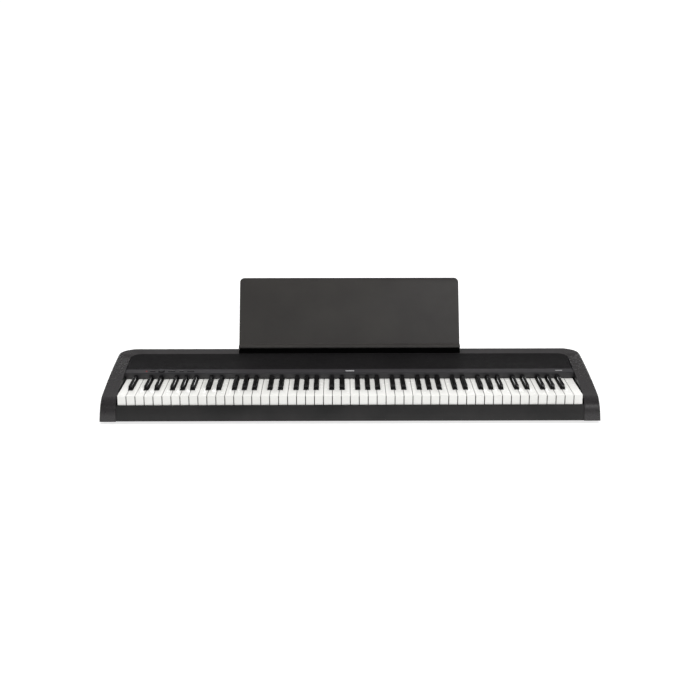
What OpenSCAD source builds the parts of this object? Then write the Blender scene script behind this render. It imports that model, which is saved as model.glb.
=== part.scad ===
// Portable digital piano with 88 hammer-weighted keys and a lift-off music rest.
// X runs to the treble end, Y to the back and Z up. The origin is under the middle
// of the whole object, on the surface it stands on.

/* [Keyboard] */
// Width taken by one white key
key_pitch = 23.5; // [20:0.1:28.5]
// Gap between neighbouring white keys
key_gap = 1; // [0.6:0.1:1.4]
// Visible length of a white key
white_len = 150; // [140:1:185]
// Distance from a white key's front to a black key's front
black_front = 50; // [40:1:60]
// Width of a black key at its base
black_w = 11.4; // [9:0.1:12]
// Height of a black key above the white keys
black_rise = 12; // [9:0.5:15]
// Height of the white keys' tops above the case's underside
key_top_z = 67; // [60:0.5:80]
// How far a white key's front goes down
key_dip = 10; // [8:0.5:12]

/* [Case] */
// Height of the case above its underside
case_h = 110; // [104:1:132]
// Width of each end block
arm_w = 43.5; // [34:0.5:60]
// Space between an end block and the first key
well_gap = 3.5; // [3:0.5:6]
// Depth of the front rail, from the case's front to the keys
slip_d = 14; // [12:0.5:18]
// Depth of the strip that holds the controls
strip_d = 24; // [20:0.5:34]
// Depth of the speaker grille
grille_d = 110; // [92:1:132]
// Depth of the rear rim
rim_d = 36; // [30:1:44]
// Wall thickness of the mouldings
wall = 3; // [2.4:0.1:3.6]
// Radius of the rear corners, seen from above
corner_r = 52; // [42:1:62]
// Height of the rubber feet
foot_h = 7; // [4:0.5:12]
// Radius of the rubber feet
foot_r = 14; // [9:0.5:14]

/* [Music rest] */
// Width of the music rest
rest_w = 626; // [500:1:800]
// Height of the rest's plate along its slope
rest_len = 192; // [150:1:240]
// Lean of the plate from upright, in degrees
rest_lean = 25; // [15:1:30]
// Thickness of the plate
rest_t = 4; // [3:0.5:6]
// Depth of the ledge that a book stands on
ledge_d = 20; // [16:0.5:26]

/* [Controls] */
// Diameter of the volume knob
knob_d = 18; // [14:0.5:19]
// Height of the volume knob above the strip
knob_h = 3.5; // [3:0.5:8]
// Travel of the push buttons
button_travel = 1; // [0.6:0.1:1.5]
// Height of the push buttons above the strip
button_rise = 1.4; // [1.2:0.1:2.4]

/* [Action] */
// Radius of the steel pivot rods
rod_r = 2; // [1.6:0.1:2.4]
// Radial running clearance of keys and hammers on their rods
rod_play = 0.05; // [0.03:0.01:0.09]
// Width of a hammer
hammer_w = 8; // [6:0.5:8.5]
// Length of a hammer's short front arm
hammer_front = 30; // [28:0.5:34]
// Length of a hammer's weighted rear arm
hammer_rear = 89; // [80:0.5:90]

/* [Sockets and fittings] */
// Bore radius of the headphone and pedal sockets
jack_r = 3.25; // [3.2:0.05:3.4]
// Distance between the stand inserts along X
stand_x = 1120; // [700:10:1180]
// Tapped radius of the stand inserts
insert_r = 2.5; // [2:0.1:3]

/* [Hidden] */
$fn = 48;
eps = 0.01;

// Keyboard layout. White keys are counted from 0 at the bass end, and a black key
// takes the number of the white key on its left.
white_count = 52;
first_letter = 5;                       // 0 is C, so the lowest key is an A
middle_c = 23;
key_letter_gaps = [true, true, false, true, true, true, false];
black_shift = [-0.094, 0.094, 0, -0.14, 0, 0.14, 0] * key_pitch;
black_slot = black_w + 2;
well_half = white_count / 2 * key_pitch + well_gap;
case_half = well_half + arm_w;

// Depths, from the case's front edge
key_y = slip_d;
black_y = key_y + black_front;
face_y = key_y + white_len + 2;
strip_end_y = face_y + strip_d;
rim_y = strip_end_y + grille_d;
case_d = rim_y + rim_d;

// Heights, from the case's underside
nose_z = 16;
nose_top = [38, key_top_z - 5];
rim_z = case_h - 8;
rear_edge_r = 14;
face_z = key_top_z + 1;
face_h = (rim_z - face_z) * 0.48;
strip_rise = 3.5;
strip_front_z = face_z + face_h;
strip_end_z = strip_front_z + strip_rise;
strip_angle = atan2(strip_rise, strip_d);
deck_angle = atan2(rim_z - strip_end_z, grille_d);
slip_top_z = key_top_z - 25.3;
slip_base_z = 2.3;
side_draft = 0.048;

// Grille
grille_t = 2;
grille_gap = 0.8;
grille_corner_r = 25;
grille_half = well_half - grille_gap;

// Controls, on the strip's middle line
strip_mid_y = face_y + strip_d / 2;
strip_mid_z = strip_front_z + strip_rise / 2;
panel_end = -well_half + 57.5;          // the power lamp, the outermost control
led_r = 1.6;
power_x = panel_end + 17;
knob_x = panel_end + 41;
sound_x = panel_end + 69;
tempo_x = panel_end + 96;
song_x = panel_end + 121.5;
button_d = 6;
wide_button = 20;
small_button = 12;
power_w = 16;
button_play = 0.3;
board_drop = 9.5;                       // panel board's top, below the strip's surface
board_t = 1.6;
switch_h = 4;
stem_r = 3;
badge_t = 0.4;

// Music rest
rim_slope = (case_h - 0.69 - rim_z) / (rim_d - rear_edge_r - 4.3);
rest_y = case_d - 20;
rest_z = case_h + 16.8;
ledge_h = 8.7;
rest_corner_r = 13;
rest_base_gap = 0.3;
tab_x = 200;
tab_w = 42;
tab_t = 4;
tab_deep = 14;
tab_play = 0.4;
rest_top_y = rest_y + rest_len * sin(rest_lean) + rest_t * cos(rest_lean);
total_d = max(case_d, rest_top_y);

// Action: the key pivot is at the back, and the hammer pivot lies under the key
pivot_y = face_y + 53;
pivot_z = key_top_z - 10;
key_angle = atan2(key_dip, pivot_y - key_y);
stem_base_z = key_top_z - 15;
front_base_z = key_top_z - 23;
lip_base_z = slip_top_z - 4;
tab_y = pivot_y - 14;
key_end_y = pivot_y + 6;
key_tab_w = 8;
key_tab_h = 10;
floor_t = 3;
frame_t = 1.5;
frame_z = floor_t + frame_t;
frame_y = key_y + 4;
back_y = pivot_y + 9;
hammer_y = pivot_y - 94;
hammer_z = 26;
nose_y = hammer_y - hammer_front;
nose_top_z = hammer_z + 4.6;
nose_r = 3;
pusher_z = nose_top_z + 0.4;
pusher_d = 6;
weight_len = 38;
weight_h = 14.5;
weight_z = 6.5;
weight_y = hammer_y + hammer_rear - weight_len;
felt_play = 0.4;
rest_felt_z = weight_z - felt_play;
stop_felt_z = key_top_z - 27.6;
felt_t = 3;
stop_rail_z = stop_felt_z + felt_t;
stop_rail_t = 3.6;
contact_y = hammer_y + 37;
contact_d = 26;
contact_z = key_top_z - 27;
dome_h = 4.9;
actuator_h = 2;
rail_top_z = front_base_z - key_dip - 3;
guide_y = key_y + 32;
guide_d = 8;
bracket_t = 3;
boss_r = 5;

// Sockets, speakers and fittings
jack_z = 35;
dc_x = -well_half + 94.5;
phones_x = -well_half + 144.5;
pedal_x = -well_half + 194.5;
jack_body = [15, 26, 15];
bush_r = 5.5;
speaker_x = well_half - 134.5;
speaker_y = strip_end_y + grille_d / 2;
cone_half = 50;
cone_r = 24;
magnet_r = 17;
foot_x = well_half - 14.5;
foot_front_y = key_y + 26;
foot_rear_y = case_d - 40;
side_wall_z = slip_top_z - 5.7;
screw_r = 1.5;
screw_head_r = 3.3;
screw_head_h = 1.5;
insert_outer_r = 4.3;
insert_len = 8;
insert_boss_r = 7;
insert_front_y = key_y + 66;
insert_rear_y = case_d - 46;
rear_screws = [for (s = [-1, 1]) for (k = [0.15, 0.55, 0.94]) s * k * well_half];
front_screws = [for (k = [-0.9, -0.45, 0, 0.45, 0.9]) k * well_half];
side_screws_y = [key_y + 20, pivot_y - 122, case_d - 48];
side_screw_z = 20;
brackets = concat([-well_half + well_gap + bracket_t / 2, well_half - well_gap - bracket_t / 2],
    [for (i = [1 : white_count - 1]) if (!has_black(i - 1)) white_left(i)]);

// --- Rules of the keyboard

function letter(i) = (i + first_letter) % 7;
function has_black(i) = i >= 0 && i < white_count - 1 && key_letter_gaps[letter(i)];
function white_left(i) = (i - white_count / 2) * key_pitch;
function black_x(i) = white_left(i + 1) + black_shift[letter(i)];
function stem_left(i) = has_black(i - 1) ? black_x(i - 1) + black_slot / 2 : white_left(i) + key_gap / 2;
function stem_right(i) = has_black(i) ? black_x(i) - black_slot / 2 : white_left(i + 1) - key_gap / 2;
function stem_x(i) = (stem_left(i) + stem_right(i)) / 2;
function key_centres(from, to) = concat([for (i = [from : to]) stem_x(i)],
    [for (i = [from : to]) if (has_black(i)) black_x(i)]);

// --- Curves

function bezier(a, b, c, d, n) = [for (i = [0 : n]) let (t = i / n, s = 1 - t)
    s * s * s * a + 3 * s * s * t * b + 3 * s * t * t * c + t * t * t * d];
function between(a, b, fy, fz) = [a[0] + (b[0] - a[0]) * fy, a[1] + (b[1] - a[1]) * fz];
function arc(cx, cy, r, from, to, n) = [for (i = [0 : n]) let (a = from + (to - from) * i / n)
    [cx + r * cos(a), cy + r * sin(a)]];

// Side outline of the case: upright front, round nose, long slope, rim and rear edge
lower_nose = [1.5, nose_z];
slope_end = [rim_y, rim_z];
case_outline = concat(
    [[0, 0]],
    bezier(lower_nose, between(lower_nose, nose_top, 0.11, 0.39),
        between(lower_nose, nose_top, 0.315, 0.826), nose_top, 8),
    bezier(nose_top, between(nose_top, slope_end, 0.275, 0.4325),
        between(nose_top, slope_end, 0.656, 0.8125), slope_end, 8),
    arc(case_d - rear_edge_r, case_h - rear_edge_r, rear_edge_r, 108, 0, 7),
    [[case_d, 0]]);

// --- Helpers

// Puts the case's front edge and underside in the part's own frame
module placed() {
    translate([0, -total_d / 2, foot_h]) children();
}

// Extrudes a side outline (Y, Z) along X, centred
module along_x(w) {
    rotate([90, 0, 90]) linear_extrude(w, center = true) children();
}

// Extrudes a front outline (X, Z) from y0 to y1
module along_y(y0, y1) {
    translate([0, y1, 0]) rotate([90, 0, 0]) linear_extrude(y1 - y0) children();
}

// Box from one corner to the other
module block(a, b) {
    translate(a) cube(b - a);
}

// Frame on the control strip at x, with Z out of its surface
module on_strip(x) {
    translate([x, strip_mid_y, strip_mid_z]) rotate([strip_angle, 0, 0]) children();
}

// Frame on the grille's middle line at x
module on_grille(x) {
    translate([x, speaker_y, (strip_end_z + rim_z) / 2]) rotate([deck_angle, 0, 0]) children();
}

// Upright round hole or post along Z
module post(x, y, r, z0, z1) {
    translate([x, y, z0]) cylinder(r = r, h = z1 - z0);
}

// Round shape along X
module cross_bar(x0, x1, y, z, r) {
    translate([x0, y, z]) rotate([0, 90, 0]) cylinder(r = r, h = x1 - x0);
}

// Round shape along Y
module through_bar(x, y0, y1, z, r) {
    translate([x, y0, z]) rotate([-90, 0, 0]) cylinder(r = r, h = y1 - y0);
}

// Plan of the case with its two round rear corners
module case_plan(inset = 0) {
    r = corner_r - inset;
    cx = case_half - corner_r;
    cy = case_d - corner_r;
    polygon(concat([[-case_half + inset, -1]], [[case_half - inset, -1]],
        arc(cx, cy, r, 0, 90, 10), arc(-cx, cy, r, 90, 180, 10)));
}

// Whole outer body of the case, kept between x0 and x1
module case_body(x0, x1) {
    top = case_h + 1;
    lean = side_draft * top;
    intersection() {
        translate([(x0 + x1) / 2, 0, 0]) along_x(x1 - x0) polygon(case_outline);
        along_y(-1, case_d + 1) polygon([[-case_half, 0], [case_half, 0],
            [case_half - lean, top], [-case_half + lean, top]]);
        linear_extrude(top) case_plan();
    }
}

// Plan of the grille, grown by more
module grille_plan(more = 0) {
    x = grille_half + more;
    y = rim_y - grille_gap + more;
    r = grille_corner_r;
    polygon(concat([[-x, strip_end_y + grille_gap - more], [x, strip_end_y + grille_gap - more]],
        arc(x - r, y - r, r, 0, 90, 8), arc(-x + r, y - r, r, 90, 180, 8)));
}

// Oval of a speaker, as two round ends and a bar
module oval(half, r, h) {
    for (s = [-1, 1]) translate([s * (half - r), 0, 0]) cylinder(r = r, h = h);
    translate([-(half - r), -r, 0]) cube([2 * (half - r), 2 * r, h]);
}

// --- Case

module bottom_case() color("#2b2a2b") placed() {
    side = well_half - 0.2;
    difference() {
        union() {
            block([-side, 3, 0], [side, case_d - wall - 0.2, floor_t]);
            for (s = [-1, 1])
                block([s * (side - 1.4) - 1.4, key_y, 0],
                    [s * (side - 1.4) + 1.4, case_d - wall - 2, side_wall_z]);
            block([-side, back_y + 10, 0], [side, back_y + 12, nose_z]);
            for (s = [-1, 1]) for (y = [insert_front_y, insert_rear_y])
                post(s * stand_x / 2, y, insert_boss_r, 0, insert_len + 2);
        }
        for (s = [-1, 1]) for (y = [insert_front_y, insert_rear_y])
            post(s * stand_x / 2, y, insert_outer_r + 0.05, -1, insert_len);
        for (x = rear_screws) screw_hole(x, rim_y + rim_d / 2 + 2);
        for (x = front_screws) screw_hole(x, slip_d - 6);
        for (s = [-1, 1]) for (y = side_screws_y)
            cross_bar(s * side - 4, s * side + 4, y, side_screw_z, screw_r + 0.1);
        for (s = [-1, 1]) for (y = [foot_front_y, foot_rear_y])
            post(s * foot_x, y, 2, -1, floor_t + 1);
    }
}

// Hole with a recess for a screw's head, from below
module screw_hole(x, y) {
    post(x, y, screw_r + 0.1, -1, floor_t + 1);
    post(x, y, screw_head_r + 0.2, -1, screw_head_h);
}

// Hollow end block on the treble side, open below
module arm() {
    difference() {
        case_body(well_half, case_half);
        intersection() {
            translate([case_half, wall, -wall]) along_x(2 * (arm_w - wall)) polygon(case_outline);
            along_y(-1, case_d - wall) polygon([[well_half + wall, -eps], [case_half - wall, -eps],
                [case_half - wall - side_draft * case_h, case_h], [well_half + wall, case_h]]);
            translate([0, 0, -eps]) linear_extrude(case_h) case_plan(wall);
        }
        for (y = side_screws_y)
            cross_bar(well_half - 1, well_half + wall + 1, y, side_screw_z, screw_r + 0.05);
    }
}

module arm_right() color("#3a383a") placed() arm();
module arm_left() color("#3a383a") placed() mirror([1, 0, 0]) arm();

// Front rail below the keys, open at the back
module key_slip() color("#373638") placed() {
    half = well_half - 0.5;
    difference() {
        union() {
            difference() {
                intersection() {
                    along_x(2 * half) polygon(case_outline);
                    block([-half, -1, slip_base_z + 0.8], [half, slip_d - 1.2, slip_top_z]);
                }
                intersection() {
                    translate([0, wall, -wall]) along_x(2 * (half - wall)) polygon(case_outline);
                    block([-half, 0, 0], [half, slip_d, slip_top_z]);
                }
            }
            for (x = front_screws) post(x, slip_d - 6, 3.6, floor_t + 0.1, nose_z + 6);
        }
        for (x = front_screws) post(x, slip_d - 6, screw_r + 0.05, 0, nose_z);
    }
}

// Rim behind the grille, rear wall and the slots for the music rest
module rear_cover() color("#3a383a") placed() {
    skirt_z = strip_end_z - 3;
    screw_y = rim_y + rim_d / 2 + 2;
    difference() {
        union() {
            difference() {
                intersection() {
                    case_body(-well_half, well_half);
                    block([-well_half, rim_y - grille_corner_r, 0], [well_half, case_d + 1, case_h + 1]);
                }
                translate([0, 0, -1]) linear_extrude(case_h + 2) grille_plan(grille_gap);
                intersection() {
                    translate([0, 0, -wall]) along_x(2 * well_half + 2) polygon(case_outline);
                    block([-well_half - 1, rim_y + wall, -1], [well_half + 1, case_d - wall, case_h]);
                }
                block([-well_half - 1, rim_y - grille_corner_r - 1, -1],
                    [well_half + 1, case_d - wall - 1, floor_t + 0.1]);
                block([-well_half - 1, rim_y - grille_corner_r - 1, -1],
                    [well_half + 1, rim_y + wall + 1, skirt_z]);
            }
            for (x = rear_screws) post(x, screw_y, 4, floor_t + 0.1, case_h - wall);
        }
        for (x = rear_screws) post(x, screw_y, screw_r + 0.05, 0, nose_z);
        for (s = [-1, 1])
            block([s * tab_x - tab_w / 2 - tab_play, rest_y - tab_t - tab_play, rim_z - 10],
                [s * tab_x + tab_w / 2 + tab_play, rest_y + tab_play, case_h + 1]);
        for (x = [phones_x, pedal_x]) through_bar(x, case_d - wall - 1, case_d + 1, jack_z, bush_r + 0.1);
        through_bar(dc_x, case_d - wall - 1, case_d + 1, jack_z, bush_r + 0.1);
    }
}

// Upright face above the keys, control strip and the deck below the grille
module control_panel() color("#343335") placed() {
    half = well_half - 0.6;
    step_z = strip_end_z - grille_t - 0.2;
    deck_end = rim_y - 1;
    deck_z = step_z + (deck_end - strip_end_y) * tan(deck_angle);   // parallel to the grille
    w = wall - 0.5;
    difference() {
        along_x(2 * half) polygon([
            [face_y, face_z], [face_y, strip_front_z], [strip_end_y, strip_end_z],
            [strip_end_y, step_z], [deck_end, deck_z], [deck_end, deck_z - w],
            [strip_end_y - w, step_z - w], [strip_end_y - w, strip_end_z - w - 0.6],
            [face_y + w, strip_front_z - w], [face_y + w, face_z]]);
        for (s = [-1, 1]) for (t = [-1, 1])
            block([s * half - 26, rim_y - grille_corner_r, face_z], [s * half + 26, rim_y, case_h]);
        on_strip(panel_end) translate([0, 0, -wall - 1]) cylinder(r = led_r + 0.1, h = wall + 2);
        on_strip(knob_x) translate([0, 0, -wall - 1]) cylinder(r = stem_r + 0.4, h = wall + 2);
        button_hole(power_x, power_w);
        button_hole(sound_x, wide_button);
        button_hole(tempo_x, small_button);
        button_hole(song_x, wide_button);
        for (s = [-1, 1]) on_grille(s * speaker_x) translate([0, 0, -20]) oval(cone_half, cone_r, 30);
    }
}

// Rectangular hole for a push button
module button_hole(x, w) {
    on_strip(x) translate([-w / 2 - button_play, -button_d / 2 - button_play, -wall - 1])
        cube([w + 2 * button_play, button_d + 2 * button_play, wall + 2]);
}

// Grille plate with windows over the speakers, which the mesh of holes covers
module speaker_grille() color("#252426") placed() {
    slot_w = 5;
    slots = 9;
    difference() {
        intersection() {
            along_x(2 * grille_half) polygon([
                [strip_end_y, strip_end_z - grille_t], [strip_end_y, strip_end_z],
                [rim_y, rim_z], [rim_y, rim_z - grille_t]]);
            linear_extrude(case_h) grille_plan();
        }
        for (s = [-1, 1]) for (k = [0 : slots - 1])
            on_grille(s * speaker_x + (k - (slots - 1) / 2) * 2 * slot_w)
                translate([-slot_w / 2, -cone_r + 4, -grille_t - 1]) cube([slot_w, 2 * cone_r - 8, grille_t + 2]);
    }
}

// --- Music rest

// Side outline of the rest: ledge with a round nose, foot on the rim, and leaning plate
nose_y0 = rest_y - ledge_d;
foot_y = nose_y0 + 4;
plate_end = rest_len + rest_t;            // the outline runs past the plate, which is cut to its plan
plate_top = [rest_y + plate_end * sin(rest_lean), rest_z + plate_end * cos(rest_lean)];
plate_back = [rest_t * cos(rest_lean), -rest_t * sin(rest_lean)];
rest_outline = concat(
    [[rest_y, rest_z], [rest_y - 3, rest_z - 1.2]],
    arc(nose_y0 + 3, rest_z - 4, 3, 80, 180, 5),
    arc(nose_y0 + 2, rest_z - ledge_h + 2, 2, 190, 260, 3),
    [[foot_y, rest_z - ledge_h + 0.5], [foot_y, foot_line(foot_y)],
    [rest_y + rest_t - 1, foot_line(rest_y + rest_t - 1)],
    [rest_y, rest_z] + plate_back, plate_top + plate_back, plate_top]);

module music_rest() color("#403e3f") placed() {
    reach = 2 * rest_len;
    intersection() {
        along_x(rest_w + 2 * rest_t) polygon(rest_outline);
        translate([0, rest_y, rest_z]) rotate([90 - rest_lean, 0, 0])
            translate([0, 0, -reach]) linear_extrude(2 * reach) rest_plate();
    }
    for (s = [-1, 1])
        block([s * tab_x - tab_w / 2, rest_y - tab_t, rim_z - 8],
            [s * tab_x + tab_w / 2, rest_y, rest_z - 6]);
}

// Height just above the rim at depth y, where the rest stands
function foot_line(y) = rim_z + (y - rim_y) * rim_slope + rest_base_gap;

// Outline of the plate in its own plane, with round top corners
module rest_plate() {
    half = rest_w / 2;
    r = rest_corner_r;
    polygon(concat([[-half, -rest_len], [half, -rest_len]],
        arc(half - r, rest_len - r, r, 0, 90, 8), arc(-half + r, rest_len - r, r, 90, 180, 8)));
}

// --- Controls

module blank_badges() color("#b8b8ba") placed() {
    on_strip(0) block([-12, -1.9, 0], [12, 1.9, badge_t]);
    on_strip(well_half - 40.5) block([-9, -1.1, 0], [9, 1.1, badge_t]);
}

// Push button with a plunger down to its switch
module push_button(x, w) {
    on_strip(x) {
        translate([-w / 2, -button_d / 2, -wall]) cube([w, button_d, wall + button_rise]);
        translate([0, 0, -board_drop + switch_h + button_travel + 0.2])
            cylinder(r = 1.5, h = board_drop - switch_h - button_travel - wall);
    }
}

module power_button() color("#2c2b2d") placed() push_button(power_x, power_w);
module sound_button() color("#2c2b2d") placed() push_button(sound_x, wide_button);
module tempo_button() color("#2c2b2d") placed() push_button(tempo_x, small_button);
module song_button() color("#2c2b2d") placed() push_button(song_x, wide_button);

module power_led() color("#b01c24") placed() on_strip(panel_end) {
    translate([0, 0, -board_drop]) cylinder(r = led_r, h = board_drop + 0.4);
}

module volume_knob() color("#1d1c1e") placed() on_strip(knob_x) {
    difference() {
        union() {
            translate([0, 0, 0.5]) cylinder(d = knob_d, h = knob_h - 0.5);
            translate([0, 0, -board_drop + switch_h + 0.3]) cylinder(r = stem_r, h = board_drop - switch_h + 1);
        }
        translate([-0.5, knob_d / 2 - 6, knob_h - 0.5]) cube([1, 5, 1]);
    }
}

// Board below the strip, with the button switches and the knob's potentiometer
module panel_board() color("#1f5a36") placed() {
    on_strip(0) {
        block([panel_end - 8, -9, -board_drop - board_t], [song_x + 14, 7, -board_drop]);
        for (x = [power_x, sound_x, tempo_x, song_x])
            block([x - 3, -3, -board_drop - eps], [x + 3, 3, -board_drop + switch_h]);
        block([knob_x - 6, -6, -board_drop - eps], [knob_x + 6, 6, -board_drop + switch_h]);
    }
}

// --- Electronics

module main_board() color("#1f5a36") placed() {
    x0 = -well_half + 230;
    y0 = back_y + 16;
    base = floor_t + 7;
    block([x0, y0, base], [x0 + 170, y0 + 72, base + board_t]);
    block([x0 + 20, y0 + 20, base + 1], [x0 + 44, y0 + 44, base + 4]);
    block([x0 + 70, y0 + 16, base + 1], [x0 + 88, y0 + 34, base + 3.5]);
    block([x0 + 110, y0 + 8, base + 1], [x0 + 150, y0 + 30, base + 16]);
    for (k = [0 : 3]) post(x0 + 30 + 16 * k, y0 + 60, 5, base + 1, base + 14);
    for (sx = [8, 162]) for (sy = [8, 64]) post(x0 + sx, y0 + sy, 3.5, floor_t, base + 1);
}

// Body of a socket behind the rear wall, with its bush through the wall
module socket(x) {
    block([x - jack_body[0] / 2, case_d - wall - jack_body[1] - 0.2, jack_z - jack_body[2] / 2],
        [x + jack_body[0] / 2, case_d - wall - 0.2, jack_z + jack_body[2] / 2]);
    through_bar(x, case_d - wall - 1, case_d, jack_z, bush_r);
}

module plug_socket(x) {
    difference() {
        socket(x);
        through_bar(x, case_d - wall - jack_body[1] + 2, case_d + 1, jack_z, jack_r);
    }
}

module phones_jack() color("#1a1a1b") placed() plug_socket(phones_x);
module pedal_jack() color("#1a1a1b") placed() plug_socket(pedal_x);

module dc_jack() color("#1a1a1b") placed() {
    difference() {
        socket(dc_x);
        through_bar(dc_x, case_d - 12, case_d + 1, jack_z, 2.75);
    }
    through_bar(dc_x, case_d - 12 - eps, case_d - 2, jack_z, 1);
}

// Baskets and magnets of the two oval speakers, fixed under the deck
module speaker_units() color("#6f7276") placed() {
    top = -grille_t - wall - 0.4;
    for (s = [-1, 1]) on_grille(s * speaker_x) {
        difference() {
            union() {
                translate([0, 0, top - 2]) oval(cone_half + 6, cone_r + 6, 2);
                translate([0, 0, top - 22]) oval(cone_half - 6, cone_r - 2, 21);
                translate([0, 0, top - 34]) cylinder(r = magnet_r, h = 14);
            }
            translate([0, 0, top - 20]) oval(cone_half - 8, cone_r - 4, 21);
        }
    }
}

module speaker_cones() color("#222224") placed() {
    top = -grille_t - wall - 0.4;
    for (s = [-1, 1]) on_grille(s * speaker_x) {
        translate([0, 0, top - 9]) oval(cone_half - 9, cone_r - 5, 1.2);
        translate([0, 0, top - 8]) cylinder(r1 = 12, r2 = 8, h = 3, $fn = 32);
    }
}

// --- Fittings

module feet() color("#151515") placed() {
    for (s = [-1, 1]) for (y = [foot_front_y, foot_rear_y]) {
        post(s * foot_x, y, foot_r, -foot_h, 0);
        post(s * foot_x, y, 1.9, -eps, floor_t);
    }
}

module case_screws() color("#8d8f92") placed() {
    for (x = rear_screws) case_screw(x, rim_y + rim_d / 2 + 2);
    for (x = front_screws) case_screw(x, slip_d - 6);
    for (s = [-1, 1]) for (y = side_screws_y) {
        inner = well_half - 3;
        cross_bar(s > 0 ? inner - 1.6 : -inner, s > 0 ? inner : -inner + 1.6, y, side_screw_z, screw_head_r);
        cross_bar(s > 0 ? inner - eps : -inner - 9, s > 0 ? inner + 9 : -inner + eps,
            y, side_screw_z, screw_r);
    }
}

module case_screw(x, y) {
    post(x, y, screw_head_r, 0, screw_head_h);
    post(x, y, screw_r, screw_head_h - eps, nose_z - 1);
}

module stand_inserts() color("#b48a3c") placed() {
    for (s = [-1, 1]) for (y = [insert_front_y, insert_rear_y])
        difference() {
            post(s * stand_x / 2, y, insert_outer_r, 0, insert_len - 0.1);
            post(s * stand_x / 2, y, insert_r, -1, insert_len + 1);
        }
}

// --- Action

// One white key: hollow front with a lip, narrow stem, pusher, actuator and pivot tab
module white_key(i) {
    x0 = white_left(i) + key_gap / 2;
    x1 = white_left(i + 1) - key_gap / 2;
    c = stem_x(i);
    notch_y = black_y - 1.5;
    difference() {
        union() {
            block([x0, key_y, front_base_z], [x1, notch_y, key_top_z]);
            block([x0, key_y, lip_base_z], [x1, key_y + 2.5, front_base_z + 1]);
            block([stem_left(i), notch_y - 1, stem_base_z], [stem_right(i), tab_y, key_top_z]);
            key_underside(c);
        }
        block([x0 + 2, key_y + 2.5, 0], [x1 - 2, notch_y - 3, key_top_z - 3]);
        stem_hollows(stem_left(i) + 2, stem_right(i) - 2);
        key_bore(c);
    }
}

// Parts that white and black keys share: pivot tab, pusher and contact actuator
module key_underside(c) {
    block([c - key_tab_w / 2, tab_y - 1, pivot_z - key_tab_h / 2],
        [c + key_tab_w / 2, key_end_y, pivot_z + key_tab_h / 2]);
    block([c - key_tab_w / 2, nose_y - pusher_d / 2, pusher_z],
        [c + key_tab_w / 2, nose_y + pusher_d / 2, stem_base_z + 1]);
    block([c - 3, contact_y - 4, stem_base_z - actuator_h], [c + 3, contact_y + 4, stem_base_z + 1]);
}

// Lightening pockets under a stem, before and behind the contact actuator
module stem_hollows(x0, x1) {
    block([x0, nose_y + pusher_d, 0], [x1, contact_y - 7, key_top_z - 4]);
    block([x0, contact_y + 7, 0], [x1, tab_y - 3, key_top_z - 4]);
}

module key_bore(c) {
    cross_bar(c - key_tab_w, c + key_tab_w, pivot_y, pivot_z, rod_r + rod_play);
}

// One black key: tapered cap with a sloping front, on a stem below the white keys' tops
module black_key(i) {
    c = black_x(i);
    top = key_top_z + black_rise;
    base = black_w / 2;
    crown = base - 0.9;
    stem_top = key_top_z - 1;
    difference() {
        union() {
            intersection() {
                translate([c, 0, 0]) along_x(black_w + 2) polygon(concat(
                    [[face_y - 3, stem_base_z], [black_y, stem_base_z], [black_y + 0.8, key_top_z + 1]],
                    bezier([black_y + 4.6, top - 2.4], [black_y + 5.2, top - 0.8],
                        [black_y + 6.4, top], [black_y + 8.2, top], 4),
                    [[face_y - 3, top]]));
                translate([c, 0, 0]) along_y(black_y - 1, face_y) polygon([
                    [-base, stem_base_z], [base, stem_base_z], [base, key_top_z],
                    [crown, top - 1], [crown - 1, top], [1 - crown, top], [-crown, top - 1],
                    [-base, key_top_z]]);
            }
            block([c - base + 0.6, face_y - 4, stem_base_z], [c + base - 0.6, tab_y, stem_top]);
            key_underside(c);
        }
        stem_hollows(c - base + 2.4, c + base - 2.4);
        key_bore(c);
    }
}

// One hammer: round nose under the key's pusher, pivot boss and rear weight
module hammer(x) {
    translate([x, 0, 0]) difference() {
        union() {
            along_x(hammer_w) polygon(concat(
                arc(nose_y, nose_top_z - nose_r, nose_r, 180, 30, 5),
                [[hammer_y - 6, hammer_z + 3], [hammer_y + 6, hammer_z + 3],
                [weight_y, weight_z + weight_h], [weight_y + weight_len, weight_z + weight_h],
                [weight_y + weight_len, weight_z], [weight_y, weight_z],
                [hammer_y + 6, hammer_z - 5], [hammer_y - 6, hammer_z - 5],
                [nose_y - nose_r, hammer_z - 2]]));
            cross_bar(-hammer_w / 2, hammer_w / 2, hammer_y, hammer_z, boss_r);
        }
        cross_bar(-hammer_w, hammer_w, hammer_y, hammer_z, rod_r + rod_play);
    }
}

module white_keys(from, to) {
    color("#f2f1ec") placed() for (i = [from : to]) white_key(i);
}

module black_keys(from, to) {
    color("#161616") placed() for (i = [from : to]) if (has_black(i)) black_key(i);
}

module hammers(from, to) {
    color("#77797c") placed() for (x = key_centres(from, to)) hammer(x);
}

module one_hammer(x) {
    color("#77797c") placed() hammer(x);
}

bass_last = middle_c - 1;
treble_first = middle_c + 7;
module white_keys_bass() white_keys(0, bass_last);
module black_keys_bass() black_keys(0, bass_last);
module hammers_bass() hammers(0, bass_last);
module white_keys_treble() white_keys(treble_first, white_count - 1);
module black_keys_treble() black_keys(treble_first, white_count - 1);
module hammers_treble() hammers(treble_first, white_count - 1);

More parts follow.
